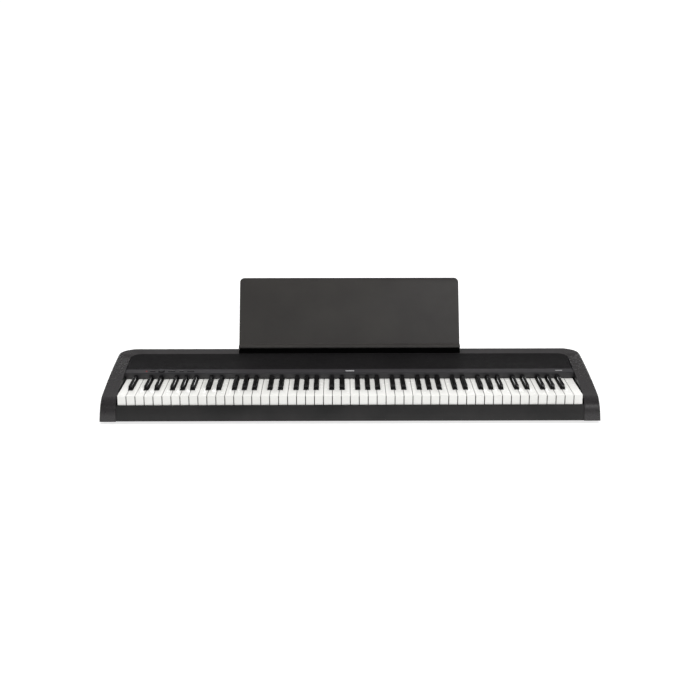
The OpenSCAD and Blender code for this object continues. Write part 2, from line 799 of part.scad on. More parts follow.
module key_c4() white_keys(middle_c, middle_c);
module key_cs4() black_keys(middle_c, middle_c);
module key_d4() white_keys(middle_c + 1, middle_c + 1);
module key_ds4() black_keys(middle_c + 1, middle_c + 1);
module key_e4() white_keys(middle_c + 2, middle_c + 2);
module key_f4() white_keys(middle_c + 3, middle_c + 3);
module key_fs4() black_keys(middle_c + 3, middle_c + 3);
module key_g4() white_keys(middle_c + 4, middle_c + 4);
module key_gs4() black_keys(middle_c + 4, middle_c + 4);
module key_a4() white_keys(middle_c + 5, middle_c + 5);
module key_as4() black_keys(middle_c + 5, middle_c + 5);
module key_b4() white_keys(middle_c + 6, middle_c + 6);

module hammer_c4() one_hammer(stem_x(middle_c));
module hammer_cs4() one_hammer(black_x(middle_c));
module hammer_d4() one_hammer(stem_x(middle_c + 1));
module hammer_ds4() one_hammer(black_x(middle_c + 1));
module hammer_e4() one_hammer(stem_x(middle_c + 2));
module hammer_f4() one_hammer(stem_x(middle_c + 3));
module hammer_fs4() one_hammer(black_x(middle_c + 3));
module hammer_g4() one_hammer(stem_x(middle_c + 4));
module hammer_gs4() one_hammer(black_x(middle_c + 4));
module hammer_a4() one_hammer(stem_x(middle_c + 5));
module hammer_as4() one_hammer(black_x(middle_c + 5));
module hammer_b4() one_hammer(stem_x(middle_c + 6));

// Steel frame: base, front rail with key guides, brackets, contact rail and rear wall
module key_frame() color("#9a9da0") placed() {
    half = well_half - well_gap;
    difference() {
        union() {
            block([-half, frame_y, floor_t], [half, back_y + 2, frame_z]);
            for (y = [frame_y + 6, guide_y + guide_d])
                block([-half, y, floor_t], [half, y + 2, rail_top_z]);
            block([-half, frame_y + 6, rail_top_z - 2], [half, guide_y + guide_d + 2, rail_top_z]);
            for (i = [0 : white_count - 1])
                block([white_left(i) + 3, guide_y, rail_top_z - 1],
                    [white_left(i + 1) - 3, guide_y + guide_d, front_base_z + 6]);
            for (x = brackets) bracket(x);
            block([-half, contact_y - contact_d / 2 - 1, contact_z - 1.6],
                [half, contact_y + contact_d / 2 + 1, contact_z]);
            block([-half, back_y - 46, stop_rail_z], [half, back_y + 1, stop_rail_z + stop_rail_t]);
            block([-half, back_y, floor_t], [half, back_y + 2, pivot_z + 7]);
        }
        for (s = [-1, 1]) post(s * stand_x / 2, insert_front_y, insert_boss_r + 1, 0, frame_z + 1);
        cross_bar(-half - 1, half + 1, hammer_y, hammer_z, rod_r + 0.02);
        cross_bar(-half - 1, half + 1, pivot_y, pivot_z, rod_r + 0.02);
        block([-half - 1, weight_y + 2, frame_z], [half + 1, weight_y + weight_len - 2, rest_felt_z + 0.2]);
        block([-half - 1, weight_y + 10, stop_felt_z - 0.2], [half + 1, weight_y + weight_len - 2, stop_rail_z]);
    }
}

// One upright bracket that carries both pivot rods
module bracket(x) {
    rear_z = contact_z - 1.6;
    rail_y = back_y - 46;
    translate([x, 0, 0]) along_x(bracket_t) polygon([
        [hammer_y - 13, floor_t], [hammer_y - 13, hammer_z + 7], [hammer_y + 9, hammer_z + 7],
        [contact_y - contact_d / 2, rear_z], [contact_y + contact_d / 2 + 1, rear_z],
        [rail_y, stop_rail_z], [rail_y, stop_rail_z + 1], [tab_y + 3, stop_rail_z + 1],
        [tab_y + 7, pivot_z + 7], [back_y + 1, pivot_z + 7], [back_y + 1, floor_t]]);
}

module pivot_rods() color("#b9bcc0") placed() {
    half = well_half - well_gap;
    cross_bar(-half, half, hammer_y, hammer_z, rod_r);
    cross_bar(-half, half, pivot_y, pivot_z, rod_r);
}

// Felt strips: under the keys' fronts, under the hammer weights and above them
module action_felts() color("#7d2428") placed() {
    half = well_half - well_gap;
    block([-half, key_y + 12, rail_top_z], [half, guide_y - 2, front_base_z - key_dip + 0.4]);
    block([-half, weight_y + 2.4, frame_z], [half, weight_y + weight_len - 2.4, rest_felt_z]);
    block([-half, weight_y + 10.4, stop_felt_z], [half, weight_y + weight_len - 2.4, stop_rail_z]);
}

module contact_board() color("#1f5a36") placed() {
    half = well_half - well_gap;
    block([-half, contact_y - contact_d / 2, contact_z],
        [half, contact_y + contact_d / 2, contact_z + board_t]);
}

module contact_domes() color("#3b3b3d") placed() {
    half = well_half - well_gap;
    base = contact_z + board_t;
    block([-half, contact_y - 6, base], [half, contact_y + 6, base + 1]);
    for (x = key_centres(0, white_count - 1)) post(x, contact_y, 3.2, base + 0.5, base + dome_h);
}

bottom_case();
arm_left();
arm_right();
key_slip();
rear_cover();
control_panel();
speaker_grille();
music_rest();
blank_badges();
power_button();
power_led();
volume_knob();
sound_button();
tempo_button();
song_button();
panel_board();
main_board();
dc_jack();
phones_jack();
pedal_jack();
key_frame();
pivot_rods();
action_felts();
contact_board();
contact_domes();
speaker_units();
speaker_cones();
feet();
case_screws();
stand_inserts();
white_keys_bass();
black_keys_bass();
hammers_bass();
white_keys_treble();
black_keys_treble();
hammers_treble();
key_c4();
key_cs4();
key_d4();
key_ds4();
key_e4();
key_f4();
key_fs4();
key_g4();
key_gs4();
key_a4();
key_as4();
key_b4();
hammer_c4();
hammer_cs4();
hammer_d4();
hammer_ds4();
hammer_e4();
hammer_f4();
hammer_fs4();
hammer_g4();
hammer_gs4();
hammer_a4();
hammer_as4();
hammer_b4();
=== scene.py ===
# %% [markdown]
# # A portable digital piano
# The frame holds every part at its real size and place. This lesson loads it, then gives each
# part that shows a finished mesh and a finish of its own. Nothing in the frame is moved: a new
# piece either stands for a part or rides beside it.

from math import cos, pi, radians, sin, sqrt

import bmesh
import bpy
import numpy as np
from mathutils import Euler, Matrix, Vector


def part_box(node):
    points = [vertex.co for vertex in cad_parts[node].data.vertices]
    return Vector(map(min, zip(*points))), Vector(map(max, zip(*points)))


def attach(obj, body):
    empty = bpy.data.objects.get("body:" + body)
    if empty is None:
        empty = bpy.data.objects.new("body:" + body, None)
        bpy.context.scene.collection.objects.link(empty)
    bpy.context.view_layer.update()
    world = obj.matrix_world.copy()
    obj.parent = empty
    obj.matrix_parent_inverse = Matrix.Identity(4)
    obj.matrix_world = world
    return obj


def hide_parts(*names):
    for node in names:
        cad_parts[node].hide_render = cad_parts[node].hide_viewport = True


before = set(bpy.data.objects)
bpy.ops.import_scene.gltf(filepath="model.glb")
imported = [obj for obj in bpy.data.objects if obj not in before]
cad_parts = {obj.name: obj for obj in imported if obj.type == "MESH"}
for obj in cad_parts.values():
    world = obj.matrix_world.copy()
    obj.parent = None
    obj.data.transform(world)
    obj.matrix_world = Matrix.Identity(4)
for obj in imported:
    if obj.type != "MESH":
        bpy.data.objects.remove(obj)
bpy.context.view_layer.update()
scene = bpy.context.scene

# %% [markdown]
# ## Sizes
# The corners of a few parts give every size that the new pieces need. The case's side outline
# follows the same rule as the design: an upright front, a round nose, a long gentle slope, a
# steeper rim and a round rear edge.

# %% Sizes, all in metres
MM = 0.001
arm_lo, arm_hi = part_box("arm_right")
cover_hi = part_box("rear_cover")[1]
panel_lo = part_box("control_panel")[0]
grille_lo, grille_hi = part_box("speaker_grille")
well_half = arm_lo.x
case_half = arm_hi.x
front_y = arm_lo.y
rear_y = cover_hi.y
base_z = arm_lo.z
top_z = cover_hi.z
key_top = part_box("key_c4")[1].z
key_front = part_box("key_c4")[0].y
rim_y = rear_y - 36 * MM
rim_z = top_z - 8 * MM
joint = 0.8 * MM  # gap between the grille and the parts round it
strip_end_y = grille_lo.y - joint
strip_front_z = key_top + MM + (rim_z - key_top - MM) * 0.48
strip_rise, strip_depth = 3.5, 24  # slope of the control strip, in mm
strip_end_z = strip_front_z + strip_rise * MM
corner_r = 52 * MM
side_draft = 0.048
rear_edge_r = 14 * MM
rim_slope = (110 - 0.69 - 102) / (36 - 14 - 4.3)  # rise over depth, both in mm
grille_corner_r = 25 * MM
print("case", round(2 * case_half, 3), "wide,", round(rear_y - front_y, 3), "deep")


# %% Side outline of the case
def bezier(a, b, c, d, count):
    """Points along a cubic curve from a to d."""
    a, b, c, d = (np.array(p) for p in (a, b, c, d))
    t = np.linspace(0, 1, count + 1)[:, None]
    s = 1 - t
    return s**3 * a + 3 * s * s * t * b + 3 * s * t * t * c + t**3 * d


def between(a, b, share_y, share_z):
    """Point that lies a share of the way from a to b."""
    return a[0] + (b[0] - a[0]) * share_y, a[1] + (b[1] - a[1]) * share_z


nose_low = (front_y + 1.5 * MM, base_z + 16 * MM)
nose_top = (front_y + 38 * MM, key_top - 5 * MM)
slope_end = (rim_y, rim_z)
nose_curve = bezier(
    nose_low,
    between(nose_low, nose_top, 0.11, 0.39),
    between(nose_low, nose_top, 0.315, 0.826),
    nose_top,
    14,
)
slope_curve = bezier(
    nose_top,
    between(nose_top, slope_end, 0.275, 0.4325),
    between(nose_top, slope_end, 0.656, 0.8125),
    slope_end,
    24,
)


def top_height(y):
    """Height of the case's top at depth y, leaving out the round rear edge."""
    on_slope = np.interp(y, slope_curve[:, 0], slope_curve[:, 1])
    return float(on_slope + max(0.0, y - rim_y) * rim_slope)


print("slope rises from", round(nose_top[1], 4), "to", round(rim_z, 4))

# %% [markdown]
# ## Finishes
# Every finish is a small tree of nodes on Object coordinates, which are metres in the frame, so
# a grain of 0.3 mm is a noise of scale 3000 at most. A colour or number that is the same all
# over is set on the shader itself. What varies, such as the faint clouding of roughness on a
# satin moulding, comes in through a noise and a colour ramp.


# %% Finish helpers
def linear(r, g, b):
    """Linear colour from the 0-255 values that a screen shows."""
    def one(v):
        v /= 255
        return v / 12.92 if v <= 0.04045 else ((v + 0.055) / 1.055) ** 2.4
    return one(r), one(g), one(b), 1.0


class Finish:
    """A material under construction: its tree, its shader and its coordinates."""

    def __init__(self, name, **constants):
        self.material = bpy.data.materials.new(name)
        self.material.use_nodes = True
        self.tree = self.material.node_tree
        self.shader = self.tree.nodes["Principled BSDF"]
        self.place = self.tree.nodes.new("ShaderNodeTexCoord").outputs["Object"]
        for socket, value in constants.items():
            self.shader.inputs[socket.replace("_", " ")].default_value = value

    def add(self, kind, **inputs):
        node = self.tree.nodes.new("ShaderNode" + kind)
        for socket, value in inputs.items():
            target = node.inputs[socket.replace("_", " ")]
            if hasattr(value, "links"):
                self.tree.links.new(value, target)
            else:
                target.default_value = value
        return node

    def stretched(self, sx, sy, sz):
        """Coordinates scaled by a different number along each axis."""
        return self.add("Mapping", Vector=self.place, Scale=(sx, sy, sz)).outputs["Vector"]

    def noise(self, scale, detail=2.0, where=None):
        node = self.add("TexNoise", Vector=where or self.place, Scale=scale, Detail=detail)
        return node.outputs["Fac"]

    def ramp(self, fac, low, high, start=0.3, end=0.7):
        """Colour or grey between low and high, as fac goes from start to end."""
        node = self.add("ValToRGB", Fac=fac)
        stops = node.color_ramp.elements
        stops[0].position, stops[1].position = start, end
        stops[0].color, stops[1].color = low, high
        return node.outputs["Color"]

    def grey(self, fac, low, high, start=0.3, end=0.7):
        return self.ramp(fac, (low, low, low, 1), (high, high, high, 1), start, end)

    def side_facing(self, start, end):
        """Grows from 0 to 1 as a face turns to look to the left or right."""
        normal = self.tree.nodes.new("ShaderNodeTexCoord").outputs["Normal"]
        size = self.add("VectorMath", Vector=normal)
        size.operation = "ABSOLUTE"
        parts = self.add("SeparateXYZ", Vector=size.outputs["Vector"])
        return self.grey(parts.outputs["X"], 0.0, 1.0, start, end)

    def mix(self, fac, low, high):
        return self.add("MixRGB", Fac=fac, Color1=low, Color2=high).outputs["Color"]

    def feed(self, socket, value):
        self.tree.links.new(value, self.shader.inputs[socket])
        return self

    def bump(self, height, strength, distance):
        node = self.add("Bump", Height=height, Strength=strength, Distance=distance)
        return self.feed("Normal", node.outputs["Normal"])


def moulded(name, dark, light, rough, grain, depth, specular):
    """Moulded plastic: fine spark-eroded grain, faint clouding in colour and roughness."""
    finish = Finish(name, Specular_IOR_Level=specular)
    cloud = finish.noise(9.0, 3.0)
    finish.feed("Base Color", finish.ramp(cloud, linear(*dark), linear(*light)))
    finish.feed("Roughness", finish.grey(finish.noise(60.0), *rough))
    finish.bump(finish.noise(grain, 3.0), 0.35, depth * MM)
    return finish.material


# %% Finishes of the case and keys: colours, roughness, grain, its depth in mm, specular
satin_case = moulded("satin_case", (44, 42, 43), (49, 47, 48), (0.42, 0.52), 1100.0, 0.05, 0.4)
arm_satin = moulded("arm_satin", (37, 35, 36), (42, 40, 41), (0.24, 0.32), 1100.0, 0.02, 0.45)
slip_satin = moulded("slip_satin", (30, 30, 30), (42, 41, 41), (0.4, 0.52), 1300.0, 0.1, 0.25)
panel_satin = moulded("panel_satin", (36, 35, 38), (42, 40, 42), (0.36, 0.46), 900.0, 0.06, 0.65)
grille_paint = moulded("grille_paint", (24, 23, 24), (29, 28, 29), (0.5, 0.6), 2200.0, 0.01, 0.15)
rest_satin = moulded("rest_satin", (48, 46, 45), (54, 52, 50), (0.33, 0.42), 1600.0, 0.015, 0.5)
# The knob's black also paints the end blocks' inner wall as shade.
knob_black_and_wall_shade = moulded("knob_black_and_wall_shade", (14, 14, 15), (19, 19, 20), (0.3, 0.4), 1500.0, 0.01, 0.4)
control_satin = moulded(
    "control_satin", (28, 28, 30), (34, 33, 36), (0.35, 0.45), 1500.0, 0.015, 0.5
)
# Painted shade: near black for the music rest's foot, standing in for the shade under its ledge.
rest_foot_shade = moulded("rest_foot_shade", (4, 4, 4), (8, 8, 8), (0.8, 0.9), 700.0, 0.1, 0.05)
rubber_black = moulded("rubber_black", (20, 20, 20), (28, 28, 28), (0.65, 0.8), 800.0, 0.08, 0.3)


def key_plastic():
    """Glossy warm white cap with a faint ripple; below the cap, painted shade darkens the key's
    sides.
    """
    finish = Finish("key_white", Specular_IOR_Level=0.5, Coat_Weight=0.15, Coat_Roughness=0.12)
    tone = finish.noise(4.0, 2.0)
    cap = finish.ramp(tone, (0.80, 0.795, 0.765, 1), (0.86, 0.855, 0.83, 1))
    height = finish.add("SeparateXYZ", Vector=finish.place).outputs["Z"]
    # Painted shade: side faces below the cap are mixed to near black, standing in for the shade in
    # the gaps between keys.
    body = finish.grey(height, 1.0, 0.0, key_top - 3.2 * MM, key_top - 2.2 * MM)
    gap_shade_mask = finish.mix(finish.side_facing(0.22, 0.45), (0, 0, 0, 1), body)
    finish.feed("Base Color", finish.mix(gap_shade_mask, cap, (0.04, 0.038, 0.036, 1)))
    finish.feed("Roughness", finish.grey(finish.noise(90.0), 0.2, 0.28))
    ripple = finish.noise(1.0, 2.0, where=finish.stretched(700, 60, 200))
    finish.bump(ripple, 0.12, 0.02 * MM)
    return finish.material


def ebony_plastic():
    """Black keys: polished tops and ends, with matt flanks and a fine grain along the key."""
    finish = Finish("key_black")
    flank = finish.side_facing(0.85, 0.95)
    finish.feed("Specular IOR Level", finish.mix(flank, (0.5, 0.5, 0.5, 1), (0.02, 0.02, 0.02, 1)))
    tone = finish.noise(30.0, 2.0)
    finish.feed("Base Color", finish.ramp(tone, linear(4, 4, 5), linear(8, 8, 9)))
    polish = finish.grey(finish.noise(120.0), 0.05, 0.08)
    finish.feed("Roughness", finish.mix(flank, polish, (0.5, 0.5, 0.5, 1)))
    grain = finish.noise(1.0, 2.0, where=finish.stretched(900, 60, 500))
    finish.bump(grain, 0.1, 0.005 * MM)
    return finish.material


key_white = key_plastic()
key_black = ebony_plastic()
print("main finishes:", [m.name for m in bpy.data.materials if m.users or m.use_nodes])


# %% Finishes of small and hidden parts
def flecked(name, low, high, rough, scale=300.0, depth=0.03, metal=0.0, stretch=(1, 1, 1)):
    """A general finish for metal, felt and board: two tones, two roughnesses and a grain."""
    low, high = (*low, 1), (*high, 1)
    finish = Finish(name, Metallic=metal)
    where = finish.stretched(*stretch)
    fleck = finish.noise(scale, 3.0, where=where)
    finish.feed("Base Color", finish.ramp(fleck, low, high))
    finish.feed("Roughness", finish.grey(fleck, *rough))
    finish.bump(fleck, 0.4, depth * MM)
    return finish.material


steel = flecked(
    "drawn_steel", (0.45, 0.46, 0.47), (0.56, 0.57, 0.58), (0.25, 0.4), 400.0, 0.01,
    metal=1.0, stretch=(0.05, 1, 1),
)
coated_weight = flecked("coated_weight", (0.12, 0.125, 0.13), (0.17, 0.175, 0.18), (0.5, 0.65))
brass = flecked("turned_brass", (0.55, 0.38, 0.14), (0.66, 0.47, 0.2), (0.25, 0.4), metal=1.0)
felt = flecked("red_felt", (0.16, 0.02, 0.025), (0.25, 0.04, 0.045), (0.9, 1.0), 900.0, 0.4)
board_green = flecked("board_green", (0.01, 0.07, 0.03), (0.015, 0.1, 0.045), (0.3, 0.42), 150.0)
chassis_grey = flecked("chassis_grey", (0.13, 0.135, 0.14), (0.17, 0.175, 0.18), (0.5, 0.6), 500.0)
basket_paint = flecked(
    "basket_paint", (0.1, 0.1, 0.105), (0.14, 0.14, 0.145), (0.4, 0.5), metal=0.6
)
cone_paper = flecked("cone_paper", (0.015, 0.015, 0.016), (0.03, 0.03, 0.031), (0.85, 0.95), 1200.0)
speaker_cloth = flecked(
    "speaker_cloth", (0.006, 0.006, 0.007), (0.012, 0.012, 0.013), (0.9, 1.0), 1500.0
)
socket_black = flecked(
    "socket_black", (0.008, 0.008, 0.009), (0.015, 0.015, 0.016), (0.35, 0.5), 700.0
)
badge_print = flecked("badge_print", (0.5, 0.5, 0.51), (0.6, 0.6, 0.61), (0.4, 0.5), 800.0, 0.01)


def lamp_red():
    """Red lens, lit from inside: brighter towards its middle."""
    finish = Finish("lamp_red", Roughness=0.15, Emission_Strength=0.55)
    tone = finish.noise(500.0)
    finish.feed("Base Color", finish.ramp(tone, (0.35, 0.01, 0.015, 1), (0.5, 0.02, 0.02, 1)))
    finish.feed("Emission Color", finish.ramp(tone, (0.6, 0.02, 0.03, 1), (0.9, 0.05, 0.05, 1)))
    return finish.material


lamp = lamp_red()
print("finishes in all:", len(bpy.data.materials))

# %% [markdown]
# ## Mesh helpers
# Two ways of shaping come back all the time. The first takes a frame part, merges its loose
# triangles, clears the flat faces and rounds chosen edges, because a moulding never has a
# knife edge. The second lofts rows of points into a skin, for the end blocks and the rear
# cover, whose top rolls over into the sides with a radius that changes round the corner.


# %% Mesh helpers
def linked(name, data):
    """A new object in the scene."""
    piece = bpy.data.objects.new(name, data)
    scene.collection.objects.link(piece)
    return piece


def face_out(bm):
    bmesh.ops.recalc_face_normals(bm, faces=bm.faces)


def bridge(bm, a, b):
    """Faces between two closed loops with as many points each."""
    for j in range(len(a)):
        k = (j + 1) % len(a)
        bm.faces.new((a[j], a[k], b[k], b[j]))


def box_shape(size):
    bm = bmesh.new()
    bmesh.ops.create_cube(bm, size=1)
    bmesh.ops.scale(bm, vec=size, verts=bm.verts)
    return bm


def finished(bm, name, material, smooth=32):
    """Object at the origin from a bmesh, with smooth faces and sharp edges kept by angle."""
    mesh = bpy.data.meshes.new(name)
    bm.to_mesh(mesh)
    bm.free()
    mesh.shade_smooth()
    mesh.set_sharp_from_angle(angle=radians(smooth))
    mesh.materials.append(material)
    return linked(name, mesh)


def merged(nodes):
    """The frame parts' triangles in one bmesh, merged and with flat faces cleared."""
    bm = bmesh.new()
    for node in nodes:
        bm.from_mesh(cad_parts[node].data)
    bmesh.ops.remove_doubles(bm, verts=bm.verts, dist=2e-6)
    bmesh.ops.dissolve_limit(
        bm, angle_limit=radians(1), verts=bm.verts, edges=bm.edges, delimit={"NORMAL"}
    )
    return bm


def round_edges(bm, pick, radius, segments=3, angle=25):
    """Rounds the sharp edges that pick accepts."""
    chosen = [
        e for e in bm.edges
        if len(e.link_faces) == 2 and e.calc_face_angle(0) > radians(angle) and pick(e)
    ]
    bmesh.ops.bevel(
        bm, geom=chosen, offset=radius, offset_type="OFFSET", segments=segments,
        profile=0.5, affect="EDGES", clamp_overlap=True,
    )
    return len(chosen)


def both(edge, test):
    """True if the test holds at both ends of an edge."""
    return all(test(v.co) for v in edge.verts)


def ends(test, also=None):
    """Picks edges whose two ends pass a test, and that another pick accepts as well."""
    return lambda e: both(e, test) and (also is None or also(e))


def place(piece, body, slot, *nodes):
    """Puts a piece on its body and hides the parts that it stands for. The slot is not used."""
    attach(piece, body)
    if nodes:
        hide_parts(*nodes)
    return piece


def triangles(piece):
    piece.data.calc_loop_triangles()
    return len(piece.data.loop_triangles)


# %% [markdown]
# ## End blocks
# Each end block is one moulding. Its skin is a loft: a row of points for every station along
# the outline, from the inner edge across the top, over a small roll and down to the side. At
# the rear corner the rows fan out round the plan's corner, and the roll grows from 3 mm on the
# side to 14 mm on the back. One block is made, and the other is its mirror image with its
# faces turned back. The wall that looks at the keys is painted black: painted shade, like the
# shadow beside them.


# %% End blocks
FLATS = 6
ROLLS = 7
side_roll = 3 * MM


def side_limit(z):
    """Half width of the case at height z, on its leaning side."""
    return case_half - side_draft * (z - base_z)


def straight_rows():
    """Rows across the block at each station from the front's foot to the corner."""
    front = np.array([(front_y, base_z), (front_y + 0.75 * MM, base_z + 8 * MM)])
    corner_y = rear_y - corner_r
    depths = slope_curve[:, 0]
    slope = slope_curve[(depths > nose_top[0] + MM) & (depths < corner_y - 4 * MM)]
    path = np.vstack([front, nose_curve, slope, [(corner_y, top_height(corner_y))]])
    along = np.gradient(path, axis=0)
    along /= np.linalg.norm(along, axis=1)[:, None]
    outward = np.stack([-along[:, 1], along[:, 0]], axis=1)
    outward[0] = outward[1]
    rows = []
    for (y, z), (ny, nz) in zip(path, outward):
        outer = side_limit(z)
        flat = outer - side_roll - well_half
        row = [(well_half + flat * k / FLATS, y, z) for k in range(FLATS)]
        for k in range(ROLLS):
            a = pi / 2 * k / (ROLLS - 1)
            inset = side_roll * (1 - cos(a))
            row.append((outer - side_roll * (1 - sin(a)), y - inset * ny, z - inset * nz))
        rows.append(row)
    return rows


def corner_rows(count=14):
    """Rows that fan out round the rear corner, ending in the plane of the joint."""
    pole = Vector((well_half, rear_y - corner_r, 0))
    centre = Vector((case_half - corner_r, rear_y - corner_r, 0))
    last = np.arccos((well_half - centre.x) / corner_r)
    rows = []
    for k in range(1, count + 1):
        share = k / count
        turn = last * share
        ease = share * share * (3 - 2 * share)
        roll = side_roll + (rear_edge_r - side_roll) * ease
        steep = radians(90 + 18 * ease)
        facing = Vector((cos(share * pi / 2), sin(share * pi / 2), 0))
        edge = centre + corner_r * Vector((cos(turn), sin(turn), 0))
        start = edge - facing * roll * (1 - cos(steep))
        level = top_height(start.y)
        crown = level + roll * (1 - sin(steep))
        edge.x = min(edge.x, side_limit(crown - roll))
        start = edge - facing * roll * (1 - cos(steep))
        row = []
        for j in range(FLATS):
            p = pole.lerp(start, j / FLATS)
            row.append((p.x, p.y, top_height(p.y)))
        for j in range(ROLLS):
            a = steep * (1 - j / (ROLLS - 1))
            p = edge - facing * roll * (1 - cos(a))
            row.append((p.x, p.y, crown - roll + roll * sin(a)))
        rows.append(row)
    return rows


def end_block():
    """Closed solid of the treble end block."""
    bm = bmesh.new()
    rows = straight_rows()
    nose_rows = 2 + len(nose_curve)
    straight_count = len(rows)
    rows += corner_rows()
    grid = [[bm.verts.new(p) for p in row] for row in rows]
    for a, b in zip(grid, grid[1:]):
        for j in range(len(a) - 1):
            bm.faces.new((a[j], a[j + 1], b[j + 1], b[j]))
    feet = []
    for k, row in enumerate(grid):
        if k >= nose_rows - 1:
            rim = row[-1].co
            reach = min(rim.x + side_draft * (rim.z - base_z), case_half)
            if k >= straight_count:
                turn = np.arccos((well_half - case_half + corner_r) / corner_r)
                turn *= (k - straight_count + 1) / (len(rows) - straight_count)
                reach = case_half - corner_r + corner_r * cos(turn)
            feet.append(bm.verts.new((reach, rim.y, base_z)))
    side_rows = grid[nose_rows - 1:]
    for k in range(len(feet) - 1):
        bm.faces.new((side_rows[k][-1], feet[k], feet[k + 1], side_rows[k + 1][-1]))
    nose_side = [row[-1] for row in grid[:nose_rows]]
    bm.faces.new([feet[0]] + nose_side[::-1])
    bm.faces.new(grid[0] + feet)
    inner = [row[0] for row in grid[:straight_count]] + grid[-1][1:] + [feet[-1]]
    bm.faces.new(inner[::-1])
    bmesh.ops.remove_doubles(bm, verts=bm.verts, dist=1e-6)
    face_out(bm)
    edge_y = rear_y - corner_r - MM
    low_z = base_z + 2 * MM
    on_wall = ends(lambda p: abs(p.x - well_half) < 1e-5 and p.y < edge_y and p.z > low_z)
    round_edges(bm, on_wall, 0.9 * MM, 3)
    return bm


block_mesh = end_block()
mirror = block_mesh.copy()
bmesh.ops.transform(mirror, matrix=Matrix.Scale(-1, 4, (1, 0, 0)), verts=mirror.verts)
bmesh.ops.reverse_faces(mirror, faces=mirror.faces)


def with_painted_shade_wall(piece, side):
    """Paints the wall over the keys and the grille black as painted shade, like a shadow gap."""
    piece.data.materials.append(knob_black_and_wall_shade)
    # Painted shade: faces that look at the keys take the knob's black, standing in for the shade in
    # that gap.
    for face in piece.data.polygons:
        if face.normal.x * side < -0.9:
            face.material_index = 1
    return piece


for side, name, bm in ((1, "right", block_mesh), (-1, "left", mirror)):
    block = with_painted_shade_wall(finished(bm, "end_block_" + name, arm_satin), side)
    place(block, "case", "case_moulding", "arm_" + name)
print("end blocks:", triangles(block), "triangles each")

# %% [markdown]
# ## Rear cover
# The cover is the rim behind the grille and the whole back wall. Its closed section is lofted
# from one end block to the other. Where the grille's round corners come, the section's front
# edge moves forward to meet them. The slots for the music rest and the holes for the sockets
# are cut afterwards.


# %% Rear cover
def grille_edge(x):
    """Depth of the grille's rear edge at x, with its round corners."""
    edge = grille_hi.y + 0.5 * MM
    past = abs(x) - (well_half - joint - grille_corner_r)
    if past <= 0:
        return edge
    past = min(past, grille_corner_r)
    return edge - grille_corner_r + sqrt(max(0.0, grille_corner_r**2 - past**2))


def back_edge(x):
    """Depth of the case's back at x, with its round corners."""
    past = max(0.0, abs(x) - (case_half - corner_r))
    return rear_y - corner_r + sqrt(corner_r**2 - past**2)


def cover_section(x):
    """Closed section at x, from the back's foot over the rim and back inside."""
    wall = 3 * MM
    back, edge = back_edge(x), grille_edge(x)
    steep = radians(108)
    start_y = back - rear_edge_r * (1 - cos(steep))
    crown = top_height(start_y) + rear_edge_r * (1 - sin(steep))
    points = [(back, base_z), (back, base_z + 30 * MM), (back, base_z + 60 * MM)]
    for k in range(9):
        a = steep * k / 8
        points.append((back - rear_edge_r * (1 - cos(a)), crown - rear_edge_r * (1 - sin(a))))
    lip = 1.4 * MM
    for k in range(1, 7):
        y = start_y + (edge + lip - start_y) * k / 6
        points.append((y, top_height(y)))
    for k in range(1, 5):
        a = pi / 2 * k / 4
        points.append((edge + lip * (1 - sin(a)), top_height(edge + lip) - lip * (1 - cos(a))))
    low = top_height(edge) - 12 * MM
    points += [(edge, low), (edge + wall, low), (edge + wall, top_height(edge + wall) - wall)]
    for k in range(1, 5):
        y = edge + wall + (back - 10 * MM - edge - wall) * k / 4
        points.append((y, top_height(min(y, start_y)) - wall))
    points += [(back - wall, crown - rear_edge_r), (back - wall, base_z)]
    return [(x, y, z) for y, z in points]


def cover_stations():
    inner = well_half - joint - grille_corner_r
    corner = [inner + grille_corner_r * sin(radians(a)) for a in range(0, 91, 6)]
    outer = corner + [well_half - 0.4 * MM, well_half]
    middle = list(np.linspace(-inner, inner, 25))[1:-1]
    return [-x for x in reversed(outer)] + middle + outer


def rear_cover():
    bm = bmesh.new()
    rows = [[bm.verts.new(p) for p in cover_section(x)] for x in cover_stations()]
    for a, b in zip(rows, rows[1:]):
        bridge(bm, a, b)
    bm.faces.new(rows[0])
    bm.faces.new(rows[-1][::-1])
    face_out(bm)
    return finished(bm, "rear_rim_and_back", satin_case)


def applied(piece):
    """Mesh of a piece with its modifiers worked in. The piece keeps none."""
    bpy.context.view_layer.update()
    mesh = bpy.data.meshes.new_from_object(
        piece.evaluated_get(bpy.context.evaluated_depsgraph_get())
    )
    piece.modifiers.clear()
    return mesh


def cut(piece, cutters):
    """Takes the cutters' shapes out of a piece and leaves a plain mesh."""
    for cutter in cutters:
        change = piece.modifiers.new("cut", "BOOLEAN")
        change.operation = "DIFFERENCE"
        change.solver = "EXACT"
        change.object = cutter
    piece.data = applied(piece)
    piece.data.set_sharp_from_angle(angle=radians(32))
    for cutter in cutters:
        bpy.data.objects.remove(cutter)
    return piece


def box_cutter(lo, hi):
    bm = box_shape(hi - lo)
    bmesh.ops.translate(bm, vec=(lo + hi) / 2, verts=bm.verts)
    return finished(bm, "cutter", satin_case)


def round_cutter(centre, radius, length):
    """Cylinder along Y."""
    bm = bmesh.new()
    turn = Matrix.Rotation(pi / 2, 4, "X")
    bmesh.ops.create_cone(
        bm, cap_ends=True, segments=40, radius1=radius, radius2=radius, depth=length,
        matrix=Matrix.Translation(centre) @ turn,
    )
    return finished(bm, "cutter", satin_case)


